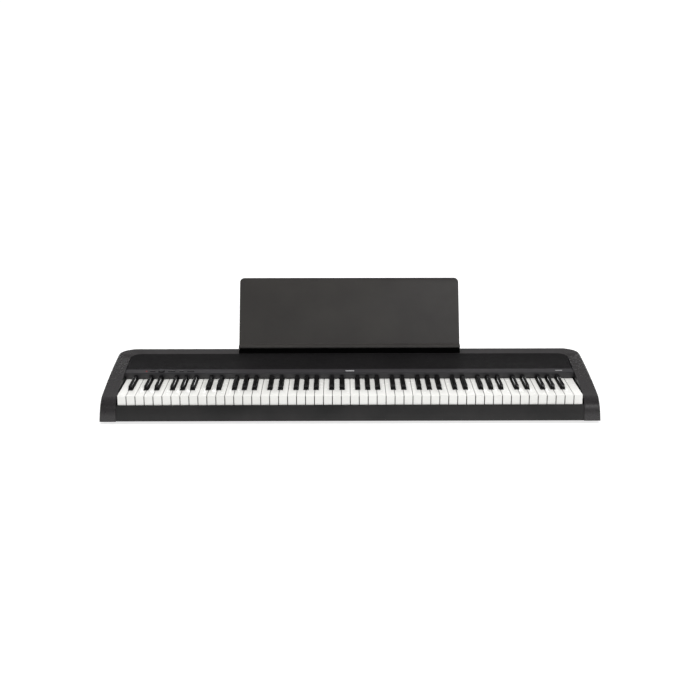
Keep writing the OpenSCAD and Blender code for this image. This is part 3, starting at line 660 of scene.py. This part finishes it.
sockets = {n: (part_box(n)[0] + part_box(n)[1]) / 2 for n in ("phones_jack", "pedal_jack", "dc_jack")}
cover = rear_cover()
SLOT_X = 0.2  # from the middle to each slot of the music rest
cutters = []
for side in (-1, 1):
    mid = Vector((side * SLOT_X, rear_y - 22 * MM, top_z - 6 * MM))
    half = Vector((21.4 * MM, 2.4 * MM, 20 * MM))
    cutters.append(box_cutter(mid - half, mid + half))
for centre in sockets.values():
    cutters.append(round_cutter(Vector((centre.x, rear_y - 2 * MM, centre.z)), 5.7 * MM, 12 * MM))
cut(cover, cutters)
place(cover, "case", "case_moulding", "rear_cover")
print("rear cover:", triangles(cover), "triangles")

# %% [markdown]
# ## Panel, front rail and underside
# These keep the frame's own shape, holes included. Their edges change: 2.2 mm along the
# panel's front, where the light draws a bright line, and a millimetre or less elsewhere. The
# front rail also ends 0.6 mm short on each side, which leaves a thin seam to the end blocks.


# %% Softened copies of frame parts
def softened(name, body, slot, material, nodes, passes, smooth=32, angle=25, inset=0.0):
    """Copies frame parts, rounds the edges that each (pick, radius, segments) names.

    An inset draws the ends in along X, which leaves a thin seam to the piece beside it.
    """
    bm = merged(nodes)
    if inset:
        reach = max(v.co.x for v in bm.verts)
        for v in bm.verts:
            if abs(v.co.x) > reach - 0.1 * MM:
                v.co.x -= inset if v.co.x > 0 else -inset
    count = 0
    for pick, radius, segments in passes:
        count += round_edges(bm, pick, radius, segments, angle)
    piece = finished(bm, name, material, smooth)
    place(piece, body, slot, *nodes)
    print(f"{name}: {count} edges rounded, {triangles(piece)} triangles")
    return piece


def along(axis, least=0.0):
    """Picks edges that run along an axis and are at least so long."""
    def pick(e):
        d = e.verts[1].co - e.verts[0].co
        return d.length > max(least, 1e-6) and abs(d[axis]) > 0.98 * d.length
    return pick


long_x = along(0, 0.3)
ridge_z = key_top + 9 * MM
well_z = base_z + 35 * MM
softened("control_strip", "case", "panel_moulding", panel_satin, ["control_panel"], [
    (ends(lambda p: p.y < panel_lo.y + MM and p.z > ridge_z, long_x), 2.2 * MM, 5),
    (ends(lambda p: p.y < panel_lo.y + 3 * MM and p.z < key_top + 3 * MM, long_x), 0.6 * MM, 2),
])
softened("front_rail", "case", "case_moulding", slip_satin, ["key_slip"], [
    (ends(lambda p: p.z > well_z, long_x), 1.0 * MM, 4),
    (ends(lambda p: abs(p.x) > well_half - MM and p.y < front_y + 6 * MM and p.z < well_z - MM),
     0.7 * MM, 2),
], inset=0.6 * MM)
softened("underside", "case", "case_moulding", satin_case, ["bottom_case"], [
    (ends(lambda p: p.z < base_z + 0.1 * MM, long_x), 0.6 * MM, 2),
])

# %% [markdown]
# ## Music rest
# The rest is a folded plate with a ledge. Its outer edges get 1.2 mm and the inner corner, where
# the plate leaves the ledge, gets a 3 mm fillet. The foot below the ledge is painted near black
# as shade under the ledge, by a second finish on the same mesh.

# %% Music rest
rest_bm = merged(["music_rest"])
plate_edge = top_z + 16.8 * MM
ledge_low = plate_edge - 8.0 * MM
outer_edge = ends(lambda p: p.z > plate_edge - 0.5 * MM, lambda e: e.is_convex)
round_edges(rest_bm, outer_edge, 1.2 * MM, 3, 40)
round_edges(
    rest_bm,
    lambda e: not e.is_convex and both(e, lambda p: abs(p.z - plate_edge) < 2 * MM),
    3.0 * MM, 4, 10,
)
music_rest = finished(rest_bm, "music_rest_plate", rest_satin, 34)
music_rest.data.materials.append(rest_foot_shade)
# Painted shade: faces below the ledge take the near-black finish.
for face in music_rest.data.polygons:
    if face.center.z < ledge_low - 0.6 * MM:
        face.material_index = 1
place(music_rest, "music_rest", "rest_plate", "music_rest")
print("music rest:", triangles(music_rest), "triangles")

# %% [markdown]
# ## Keys
# White keys are glossy boxes with a soft 0.9 mm edge round the top and down the front. Black
# keys rise 12 mm above them with a sloped front, and their caps have 1.3 mm edges, except at
# the rear. The keys of the middle octave ride on bodies of their own, and the rest of each
# register rides on one.


# %% Keys
def white_edges(e):
    """Edges round a white key's top and down its front."""
    return both(e, lambda p: p.z > key_top - 0.05 * MM) or (
        along(2)(e) and both(e, lambda p: p.y < key_front + 0.05 * MM)
    )


def cap_edges(e):
    """Edges of a black key's cap, apart from those at its rear."""
    rear = both(e, lambda p: p.y > panel_lo.y - 12 * MM)
    return both(e, lambda p: p.z > key_top + 0.5 * MM) and not rear


def white(part, body, node):
    softened("white_" + part, body, "white_key", key_white, [node], [(white_edges, 0.9 * MM, 3)])


def black(part, body, node):
    passes = [(cap_edges, 1.3 * MM, 4)]
    softened("black_" + part, body, "black_key", key_black, [node], passes, smooth=40)


for part in ("bass", "treble"):
    white(part, "keys_" + part, "white_keys_" + part)
    black(part, "keys_" + part, "black_keys_" + part)
for note in ("c4", "d4", "e4", "f4", "g4", "a4", "b4"):
    white(note, "key_" + note, "key_" + note)
for note in ("cs4", "ds4", "fs4", "gs4", "as4"):
    black(note, "key_" + note, "key_" + note)

# %% [markdown]
# ## Repeats with Geometry Nodes
# The grille's holes, the knob's grip and the screws repeat one small shape many times. Each
# comes from a tree that is built here. Its inputs have names, and a modifier gives them their
# values. The result is turned into a plain mesh before it joins the model.


# %% A small builder for node trees
class Tree:
    """A Geometry Nodes tree with named inputs."""

    def __init__(self, name, **inputs):
        self.group = bpy.data.node_groups.new(name, "GeometryNodeTree")
        face = self.group.interface
        face.new_socket("Geometry", in_out="OUTPUT", socket_type="NodeSocketGeometry")
        face.new_socket("Points", in_out="INPUT", socket_type="NodeSocketGeometry")
        for label, kind in inputs.items():
            face.new_socket(label, in_out="INPUT", socket_type="NodeSocket" + kind)
        self.start = self.group.nodes.new("NodeGroupInput")
        self.end = self.group.nodes.new("NodeGroupOutput")

    def get(self, label):
        return self.start.outputs[label]

    def add(self, kind, inputs=None, **settings):
        node = self.group.nodes.new(kind)
        for key, value in settings.items():
            setattr(node, key, value)
        for key, value in (inputs or {}).items():
            if hasattr(value, "links"):
                self.group.links.new(value, node.inputs[key])
            else:
                node.inputs[key].default_value = value
        return node

    def math(self, operation, a, b=0.0):
        node = self.add("ShaderNodeMath", {0: a, 1: b}, operation=operation)
        return node.outputs[0]

    def set_out(self, shape, points, **inputs):
        """A copy of the object named by an input, at every point."""
        item = self.add("GeometryNodeObjectInfo", {"Object": self.get(shape)})
        inputs.update(Points=points, Instance=item.outputs["Geometry"])
        return self.add("GeometryNodeInstanceOnPoints", inputs).outputs[0]

    def finish(self, geometry, material):
        whole = self.add("GeometryNodeRealizeInstances", {"Geometry": geometry})
        painted = self.add("GeometryNodeSetMaterial", {
            "Geometry": whole.outputs[0], "Material": material,
        })
        self.group.links.new(painted.outputs[0], self.end.inputs[0])


def grown(name, tree, smooth=32, points=(), **values):
    """Runs a tree on a mesh of points and keeps the result as a plain mesh."""
    seed = bpy.data.meshes.new(name)
    seed.from_pydata([tuple(p) for p in points], [], [])
    holder = linked(name, seed)
    change = holder.modifiers.new("grow", "NODES")
    change.node_group = tree.group
    for item in tree.group.interface.items_tree:
        if item.in_out == "INPUT" and item.name in values:
            change[item.identifier] = values[item.name]
    mesh = applied(holder)
    mesh.shade_smooth()
    mesh.set_sharp_from_angle(angle=radians(smooth))
    holder.data = mesh
    return holder


def helper_mesh(name, bm):
    """A small shape that a tree repeats. It is removed once the tree has run."""
    mesh = bpy.data.meshes.new(name)
    bm.to_mesh(mesh)
    bm.free()
    return linked(name, mesh)


# %% [markdown]
# ### Grille
# A tile is a flat hexagon with a round hole. The tree sets tiles on a grid whose odd rows are
# shifted by half a pitch, drops those outside the grille's plan, welds the rest into one sheet
# and gives it a thickness. Two sheets, a frame round them and a black cloth make the grille.

# %% Grille: tile and tree
PITCH = 4.5 * MM
HOLE_R = 1.35 * MM
SHEET = 0.8 * MM
WELD = 0.00005


def hexagon_tile():
    bm = bmesh.new()
    side = PITCH / sqrt(3)
    outer = [bm.verts.new((side * sin(k * pi / 3), side * cos(k * pi / 3), 0)) for k in range(6)]
    turn = [k * pi / 4 + pi / 8 for k in range(8)]
    hole = [bm.verts.new((HOLE_R * sin(a), HOLE_R * cos(a), 0)) for a in turn]
    edges = [
        bm.edges.new((ring[k], ring[(k + 1) % len(ring)]))
        for ring in (outer, hole) for k in range(len(ring))
    ]
    bmesh.ops.triangle_fill(bm, edges=edges, use_beauty=True, normal=(0, 0, 1))
    for face in [f for f in bm.faces if f.calc_center_median().length < HOLE_R * 0.5]:
        bm.faces.remove(face)
    face_out(bm)
    if sum(f.normal.z for f in bm.faces) < 0:
        bmesh.ops.reverse_faces(bm, faces=bm.faces)
    return helper_mesh("tile", bm)


def grille_tree():
    """Tiles from Left and Front on, trimmed at Limit, at Back and at a corner between them."""
    tree = Tree(
        "perforated_sheet", Tile="Object", Pitch="Float", Columns="Int", Rows="Int",
        Left="Float", Front="Float", Limit="Float", Back="Float", Corner="Float",
        Thickness="Float", Finish="Material",
    )
    pitch = tree.get("Pitch")
    row_pitch = tree.math("MULTIPLY", pitch, sqrt(3) / 2)
    index = tree.add("GeometryNodeInputIndex").outputs[0]
    columns, rows = tree.get("Columns"), tree.get("Rows")
    row = tree.math("FLOOR", tree.math("DIVIDE", index, columns))
    column = tree.math("SUBTRACT", index, tree.math("MULTIPLY", row, columns))
    shift = tree.math("MULTIPLY", tree.math("MODULO", row, 2.0), 0.5)
    x = tree.math("MULTIPLY_ADD", tree.math("ADD", column, shift), pitch)
    tree.group.links.new(tree.get("Left"), x.node.inputs[2])
    y = tree.math("MULTIPLY_ADD", row, row_pitch)
    tree.group.links.new(tree.get("Front"), y.node.inputs[2])
    spot = tree.add("ShaderNodeCombineXYZ", {"X": x, "Y": y})
    points = tree.add("GeometryNodePoints", {
        "Count": tree.math("MULTIPLY", columns, rows), "Position": spot.outputs[0],
    })
    position = tree.add("GeometryNodeInputPosition").outputs[0]
    where = tree.add("ShaderNodeSeparateXYZ", {"Vector": position})
    px, py = tree.math("ABSOLUTE", where.outputs["X"]), where.outputs["Y"]
    radius = tree.get("Corner")

    def over(at, limit):
        """How far a point is past the centre of the corner."""
        return tree.math("MAXIMUM", tree.math("ADD", tree.math("SUBTRACT", at, limit), radius))

    squares = [
        tree.math("POWER", over(at, tree.get(limit)), 2.0)
        for at, limit in ((px, "Limit"), (py, "Back"))
    ]
    reach = tree.math("SQRT", tree.math("ADD", *squares))
    outside = tree.add("FunctionNodeCompare", {"A": reach, "B": radius}, operation="GREATER_THAN")
    kept = tree.add("GeometryNodeDeleteGeometry", {
        "Geometry": points.outputs[0], "Selection": outside.outputs[0],
    })
    tiles = tree.set_out("Tile", kept.outputs[0])
    loose = tree.add("GeometryNodeRealizeInstances", {"Geometry": tiles})
    weld = {"Geometry": loose.outputs[0], "Distance": WELD}
    sheet = tree.add("GeometryNodeMergeByDistance", weld)
    lift = tree.add("ShaderNodeCombineXYZ", {"Z": tree.get("Thickness")})
    top = tree.add("GeometryNodeExtrudeMesh", {
        "Mesh": sheet.outputs[0], "Offset": lift.outputs[0], "Offset Scale": 1.0,
        "Individual": False,
    })
    under = tree.add("GeometryNodeFlipFaces", {"Mesh": sheet.outputs[0]})
    both_sides = tree.add("GeometryNodeJoinGeometry")
    tree.group.links.new(top.outputs[0], both_sides.inputs[0])
    tree.group.links.new(under.outputs[0], both_sides.inputs[0])
    closed = tree.add("GeometryNodeMergeByDistance", {
        "Geometry": both_sides.outputs[0], "Distance": WELD,
    })
    tree.finish(closed.outputs[0], tree.get("Finish"))
    return tree


# %% Grille: frame, sheets and cloth
grille_half = grille_hi.x - 1.2 * MM
grille_y0, grille_y1 = grille_lo.y, grille_hi.y
grille_slope = (rim_z - strip_end_z) / (rim_y - strip_end_y)


def on_deck(piece, drop=0.0):
    """Leans a flat piece onto the grille's slope and adds it to the grille."""
    for v in piece.data.vertices:
        v.co.z += strip_end_z + grille_slope * (v.co.y - strip_end_y) - drop
    piece.data.update()
    place(piece, "case", "grille_mesh", "speaker_grille")


def plan_loop(inset, z):
    """Points round the grille's plan, moved in by inset."""
    r = grille_corner_r - inset
    x, y = grille_half - grille_corner_r, grille_y1 - grille_corner_r
    loop = [(side * (grille_half - inset), grille_y0 + inset, z) for side in (-1, 1)]
    for k in range(13):
        a = pi / 2 * k / 12
        loop.append((x + r * cos(a), y + r * sin(a), z))
    for k in range(13):
        a = pi / 2 + pi / 2 * k / 12
        loop.append((-x + r * cos(a), y + r * sin(a), z))
    return loop


def grille_frame():
    """Border of the grille, 3 mm wide with a round outer and inner edge."""
    bm = bmesh.new()
    deep = 2 * MM
    steps = [(0, -deep), (0, -0.4 * MM), (0.12 * MM, -0.12 * MM), (0.4 * MM, 0),
             (2.6 * MM, 0), (2.85 * MM, -0.1 * MM), (3 * MM, -0.35 * MM), (3 * MM, -deep)]
    loops = [[bm.verts.new(p) for p in plan_loop(inset, z)] for inset, z in steps]
    for a, b in zip(loops, loops[1:] + loops[:1]):
        bridge(bm, a, b)
    face_out(bm)
    return finished(bm, "grille_frame", grille_paint)


def cloth_sheet():
    bm = bmesh.new()
    low = [bm.verts.new(p) for p in plan_loop(1 * MM, 0)]
    high = [bm.verts.new(p) for p in plan_loop(1 * MM, 0.3 * MM)]
    bm.faces.new(low)
    bm.faces.new(high)
    bridge(bm, low, high)
    face_out(bm)
    return finished(bm, "grille_cloth", speaker_cloth)


tile = hexagon_tile()
sheet_tree = grille_tree()
edge = 2.2 * MM
rows = int((grille_y1 - grille_y0 - 2 * edge) / (PITCH * sqrt(3) / 2)) + 1
columns = int((grille_half - edge) / PITCH) + 1
for side, name in ((-1, "left"), (1, "right")):
    left = 0.0 if side > 0 else -columns * PITCH
    sheet = grown(
        "grille_sheet_" + name, sheet_tree, smooth=50, Tile=tile, Pitch=PITCH,
        Columns=columns, Rows=rows, Left=left, Front=grille_y0 + edge,
        Limit=grille_half - edge, Back=grille_y1 - edge, Corner=grille_corner_r,
        Thickness=SHEET, Finish=grille_paint,
    )
    on_deck(sheet, 0.2 * MM + SHEET)
    print(sheet.name, triangles(sheet), "triangles")
bpy.data.objects.remove(tile)
on_deck(grille_frame())
on_deck(cloth_sheet(), 1.7 * MM)
print("grille:", rows, "rows of", 2 * columns, "holes")

# %% [markdown]
# ### Knob and screws
# The knob is a turned body with a ring of fine ribs. A screw is a round head with a crossed
# recess on a plain shank, and one tree sets it at every point of a small mesh.


# %% Turned shapes
def lathe(bm, profile, count, matrix):
    """Adds a solid of revolution about Z to a bmesh. The profile starts and ends on the axis."""
    rings = []
    for r, z in profile:
        if r < 1e-7:
            rings.append([bm.verts.new(matrix @ Vector((0, 0, z)))])
        else:
            turns = [2 * pi * k / count for k in range(count)]
            spots = [Vector((r * cos(a), r * sin(a), z)) for a in turns]
            rings.append([bm.verts.new(matrix @ spot) for spot in spots])
    for a, b in zip(rings, rings[1:]):
        for k in range(count):
            m = (k + 1) % count
            corners = [a[k % len(a)], a[m % len(a)], b[m % len(b)], b[k % len(b)]]
            corners = list(dict.fromkeys(corners))
            if len(corners) > 2:
                bm.faces.new(corners)
    return bm


strip_tilt = Matrix.Rotation(np.arctan2(strip_rise, strip_depth), 4, "X")


def centre_of(node):
    lo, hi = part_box(node)
    return (lo + hi) / 2


# %% Volume knob
knob_lo, knob_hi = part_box("volume_knob")
knob_r = (knob_hi.x - knob_lo.x) / 2
strip_y = panel_lo.y + 12 * MM
strip_z = (strip_front_z + strip_end_z) / 2


def strip_frame(x):
    """Frame on the control strip at x, with Z out of its surface."""
    return Matrix.Translation(Vector((x, strip_y, strip_z))) @ strip_tilt


def rib_tree():
    """Ribs on a circle, each turned to face outwards."""
    tree = Tree("grip_ribs", Rib="Object", Count="Int", Radius="Float", Finish="Material")
    circle = tree.add("GeometryNodeMeshCircle", {
        "Vertices": tree.get("Count"), "Radius": tree.get("Radius"),
    })
    out = tree.add("GeometryNodeInputPosition")
    facing = tree.add(
        "FunctionNodeAlignRotationToVector", {"Vector": out.outputs[0]}, axis="X", pivot_axis="Z"
    )
    ribs = tree.set_out("Rib", circle.outputs[0], Rotation=facing.outputs[0])
    tree.finish(ribs, tree.get("Finish"))
    return tree


def knob():
    """Body with a dished top and a line, and ribs let into its side."""
    frame_at = strip_frame(centre_of("volume_knob").x)
    r = knob_r - 0.25 * MM
    profile = [(0, 0.5 * MM), (r, 0.5 * MM), (r, 1.0 * MM), (r - 0.15 * MM, 1.2 * MM)]
    roll, roll_x, roll_z = 0.7 * MM, r - 0.85 * MM, 2.72 * MM
    quarter = np.linspace(0, pi / 2, 6)
    profile += [(roll_x + roll * cos(a), roll_z + roll * sin(a)) for a in quarter]
    profile += [(r - 1.6 * MM, 3.42 * MM), (r - 3.5 * MM, 3.2 * MM), (0, 3.1 * MM)]
    bm = lathe(bmesh.new(), profile, 72, frame_at)
    stem = [(0, -5.2 * MM), (3 * MM, -5.2 * MM), (3 * MM, 0.6 * MM), (0, 0.6 * MM)]
    lathe(bm, stem, 24, frame_at)
    face_out(bm)
    body = finished(bm, "knob_body", knob_black_and_wall_shade, 40)
    body.data.materials.append(panel_satin)
    axis = frame_at.to_3x3() @ Vector((0, 0, 1))
    for face in body.data.polygons:
        if face.normal.dot(axis) > 0.8:
            face.material_index = 1
    line = box_shape((0.9 * MM, 4.6 * MM, 0.35 * MM))
    bmesh.ops.translate(line, vec=(0, knob_r - 3.9 * MM, 3.3 * MM), verts=line.verts)
    bmesh.ops.transform(line, matrix=frame_at, verts=line.verts)
    mark = finished(line, "knob_line", knob_black_and_wall_shade)
    rib_bm = box_shape((0.5 * MM, 0.42 * MM, 1.7 * MM))
    bmesh.ops.bevel(
        rib_bm, geom=rib_bm.edges[:], offset=0.12 * MM, segments=2, profile=0.5, affect="EDGES"
    )
    rib = helper_mesh("rib", rib_bm)
    ribs = grown(
        "knob_ribs", rib_tree(), smooth=50, Rib=rib, Count=60, Radius=knob_r - 0.42 * MM,
        Finish=knob_black_and_wall_shade,
    )
    bpy.data.objects.remove(rib)
    ribs.data.transform(frame_at @ Matrix.Translation((0, 0, 2.0 * MM)))
    for piece in (body, mark, ribs):
        place(piece, "volume_knob", "control", "volume_knob")
    return triangles(body) + triangles(ribs)


print("knob:", knob(), "triangles")


# %% Buttons, lamp and badges
for node in ("power_button", "sound_button", "tempo_button", "song_button"):
    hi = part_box(node)[1]
    softened(
        node + "_cap", node, "control", control_satin, [node],
        [(ends(lambda p: p.z > hi.z - 2.2 * MM, lambda e: e.calc_length() > 3 * MM), 0.5 * MM, 3)],
    )
softened("badges", "case", "badge", badge_print, ["blank_badges"], [])
led_at = strip_frame(centre_of("power_led").x)
led_bm = bmesh.new()
lens = [(0, -9.5 * MM), (1.6 * MM, -9.5 * MM), (1.6 * MM, 0.0)]
dome = np.linspace(0.2, pi / 2 - 0.15, 5)
lens += [(1.6 * MM * cos(a), 0.4 * MM * sin(a)) for a in dome] + [(0, 0.4 * MM)]
lathe(led_bm, lens, 32, led_at)
face_out(led_bm)
place(finished(led_bm, "lamp_lens", lamp, 40), "case", "lamp", "power_led")
print("controls done")


# %% Screws
def screw_shape():
    """Pan head with a crossed recess, facing down, and its shank going up."""
    bm = bmesh.new()
    turns = np.linspace(0.3, pi / 2, 5)
    head = [(0, 0.0), (2.0 * MM, 0.0)]
    head += [(2.0 * MM + 1.3 * MM * sin(a), 0.8 * MM - 0.8 * MM * cos(a)) for a in turns]
    shank = ((3.3, 1.5), (1.5, 1.5), (1.5, 12.4), (0.7, 13.5), (0, 13.5))
    head += [(r * MM, z * MM) for r, z in shank]
    lathe(bm, head, 32, Matrix.Identity(4))
    face_out(bm)
    body = finished(bm, "screw_body", steel)
    arms = []
    for turn in (0, pi / 2):
        bit = box_shape((3.4 * MM, 0.7 * MM, 1.6 * MM))
        bmesh.ops.rotate(bit, matrix=Matrix.Rotation(turn, 3, "Z"), verts=bit.verts)
        arms.append(finished(bit, "recess", steel))
    return cut(body, arms)


def screw_tree():
    """The screw at every given point, turned by Turn."""
    tree = Tree("screws_at_points", Screw="Object", Turn="Rotation", Finish="Material")
    screws = tree.set_out("Screw", tree.get("Points"), Rotation=tree.get("Turn"))
    tree.finish(screws, tree.get("Finish"))
    return tree


screw = screw_shape()
at_points = screw_tree()
front_row = [(k * well_half, front_y + 8 * MM, base_z) for k in (-0.9, -0.45, 0, 0.45, 0.9)]
rear_row = [
    (s * k * well_half, rear_y - 16 * MM, base_z) for s in (-1, 1) for k in (0.15, 0.55, 0.94)
]
side_depths = [key_front + 20 * MM, key_front + 83 * MM, rear_y - 48 * MM]
side_x = well_half - 4.6 * MM
sets = {
    "screws_under": (front_row + rear_row, (0, 0, 0)),
    "screws_right": ([(side_x, y, base_z + 20 * MM) for y in side_depths], (0, pi / 2, 0)),
    "screws_left": ([(-side_x, y, base_z + 20 * MM) for y in side_depths], (0, -pi / 2, 0)),
}
for name, (points, turn) in sets.items():
    row = grown(name, at_points, points=points, Screw=screw, Turn=Euler(turn), Finish=steel)
    place(row, "case", "steel", "case_screws")
bpy.data.objects.remove(screw)
print("screws:", sum(len(points) for points, turn in sets.values()))

# %% [markdown]
# ## Feet, sockets and the parts inside
# The feet get round edges. Everything inside keeps the frame's own mesh and takes a finish, so
# that an opened view or a raised key shows felt, steel and board where they belong.

# %% Feet and sockets
softened("rubber_feet", "case", "foot", rubber_black, ["feet"], [
    (ends(lambda p: p.z < 0.1 * MM), 1.2 * MM, 4),
    (ends(lambda p: abs(p.z - base_z) < 0.1 * MM, lambda e: e.calc_length() > MM), 0.5 * MM, 2),
])
for node in sockets:
    softened(node + "_body", "case", "socket", socket_black, [node], [
        (ends(lambda p: p.y > rear_y - 0.1 * MM), 0.35 * MM, 3),
    ])
softened("threaded_inserts", "case", "brass", brass, ["stand_inserts"], [
    (ends(lambda p: p.z < base_z + 0.1 * MM), 0.3 * MM, 2),
])

# %% Finishes of the parts that keep the frame's mesh
kept = {
    "panel_board": board_green, "main_board": board_green, "contact_board": board_green,
    "key_frame": chassis_grey, "pivot_rods": steel, "action_felts": felt,
    "contact_domes": rubber_black, "speaker_units": basket_paint, "speaker_cones": cone_paper,
}
kept.update({name: coated_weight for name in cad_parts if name.startswith("hammer")})
for name, material in kept.items():
    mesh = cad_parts[name].data
    mesh.materials.clear()
    mesh.materials.append(material)
print("parts that keep the frame's mesh:", len(kept))

# %% [markdown]
# ## Set, light and camera
# The piano lies on a plain pale floor. A bright low band in the surroundings behind it draws
# the shine on its tops, a soft sun stands almost overhead, and two area lights from the front
# fill the key fronts and the right end. The camera looks down a little from far in front,
# slightly left of the middle line.

# %% Set
def studio_world():
    """Bright low down, most of all behind, and dim above, so that dark plastic stays dark."""
    world = bpy.data.worlds.new("studio")
    world.use_nodes = True
    tree = world.node_tree
    background = tree.nodes["Background"]
    direction = tree.nodes.new("ShaderNodeTexCoord").outputs["Generated"]
    parts = tree.nodes.new("ShaderNodeSeparateXYZ")
    tree.links.new(direction, parts.inputs[0])

    def levels(socket, *steps):
        ramp = tree.nodes.new("ShaderNodeValToRGB")
        tree.links.new(parts.outputs[socket], ramp.inputs[0])
        stops = ramp.color_ramp.elements
        for number, (position, level) in enumerate(steps):
            stop = stops[number] if number < 2 else stops.new(position)
            stop.position, stop.color = position, (level, level, level, 1)
        return ramp.outputs[0]

    behind = levels(
        "Z", (0.0, 1.05), (1.0, 0.1), (0.1, 1.1), (0.12, 6.0), (0.185, 6.0), (0.22, 0.12),
        (0.45, 0.12), (0.65, 0.4), (0.87, 0.75), (0.97, 0.3),
    )
    before = levels(
        "Z", (0.215, 1.05), (1.0, 0.1), (0.27, 0.15), (0.45, 0.15), (0.6, 0.35), (0.75, 0.1)
    )
    side = tree.nodes.new("ShaderNodeMixRGB")
    tree.links.new(levels("Y", (0.0, 0.0), (0.1, 1.0)), side.inputs["Fac"])
    tree.links.new(before, side.inputs["Color1"])
    tree.links.new(behind, side.inputs["Color2"])
    tree.links.new(side.outputs[0], background.inputs["Color"])
    return world


scene.world = studio_world()
floor_finish = Finish("pale_floor", Emission_Color=(1, 1, 1, 1), Emission_Strength=0.75)
floor_finish.feed("Base Color", floor_finish.grey(floor_finish.noise(0.8), 0.36, 0.40))
floor_finish.feed("Roughness", floor_finish.grey(floor_finish.noise(3.0), 0.85, 0.95))
floor_bm = bmesh.new()
bmesh.ops.create_grid(floor_bm, x_segments=1, y_segments=1, size=60)
floor = finished(floor_bm, "floor", floor_finish.material)

sun_data = bpy.data.lights.new("soft_sun", "SUN")
sun_data.energy = 2.9
sun_data.angle = radians(50)
sun = linked("soft_sun", sun_data)
sun.rotation_euler = (radians(4), 0, radians(-12))
sun.visible_glossy = False


def soft_light(name, place_at, aim, size, power):
    """Area light that faces a point."""
    data = bpy.data.lights.new(name, "AREA")
    data.shape = "RECTANGLE"
    data.size, data.size_y = size
    data.energy = power
    light = linked(name, data)
    light.location = place_at
    light.rotation_euler = (Vector(aim) - Vector(place_at)).to_track_quat("-Z", "Y").to_euler()


soft_light("front_light", (0.3, -3.2, 2.3), (0, 0, 0.1), (3.0, 0.3), 4)
soft_light("right_light", (1.5, -3.0, 2.2), (0.3, 0, 0.1), (1.4, 0.9), 9)

camera_data = bpy.data.cameras.new("camera")
camera_data.lens = 63.617
camera = linked("camera", camera_data)
view = Matrix.Rotation(-0.00804, 4, "Z") @ Matrix.Rotation(radians(74.73), 4, "X")
camera.matrix_world = Matrix.Translation((-0.0257, -3.282384, 1.0426)) @ view
scene.camera = camera
scene.view_settings.view_transform = "Standard"
print("set, lights and camera ready")
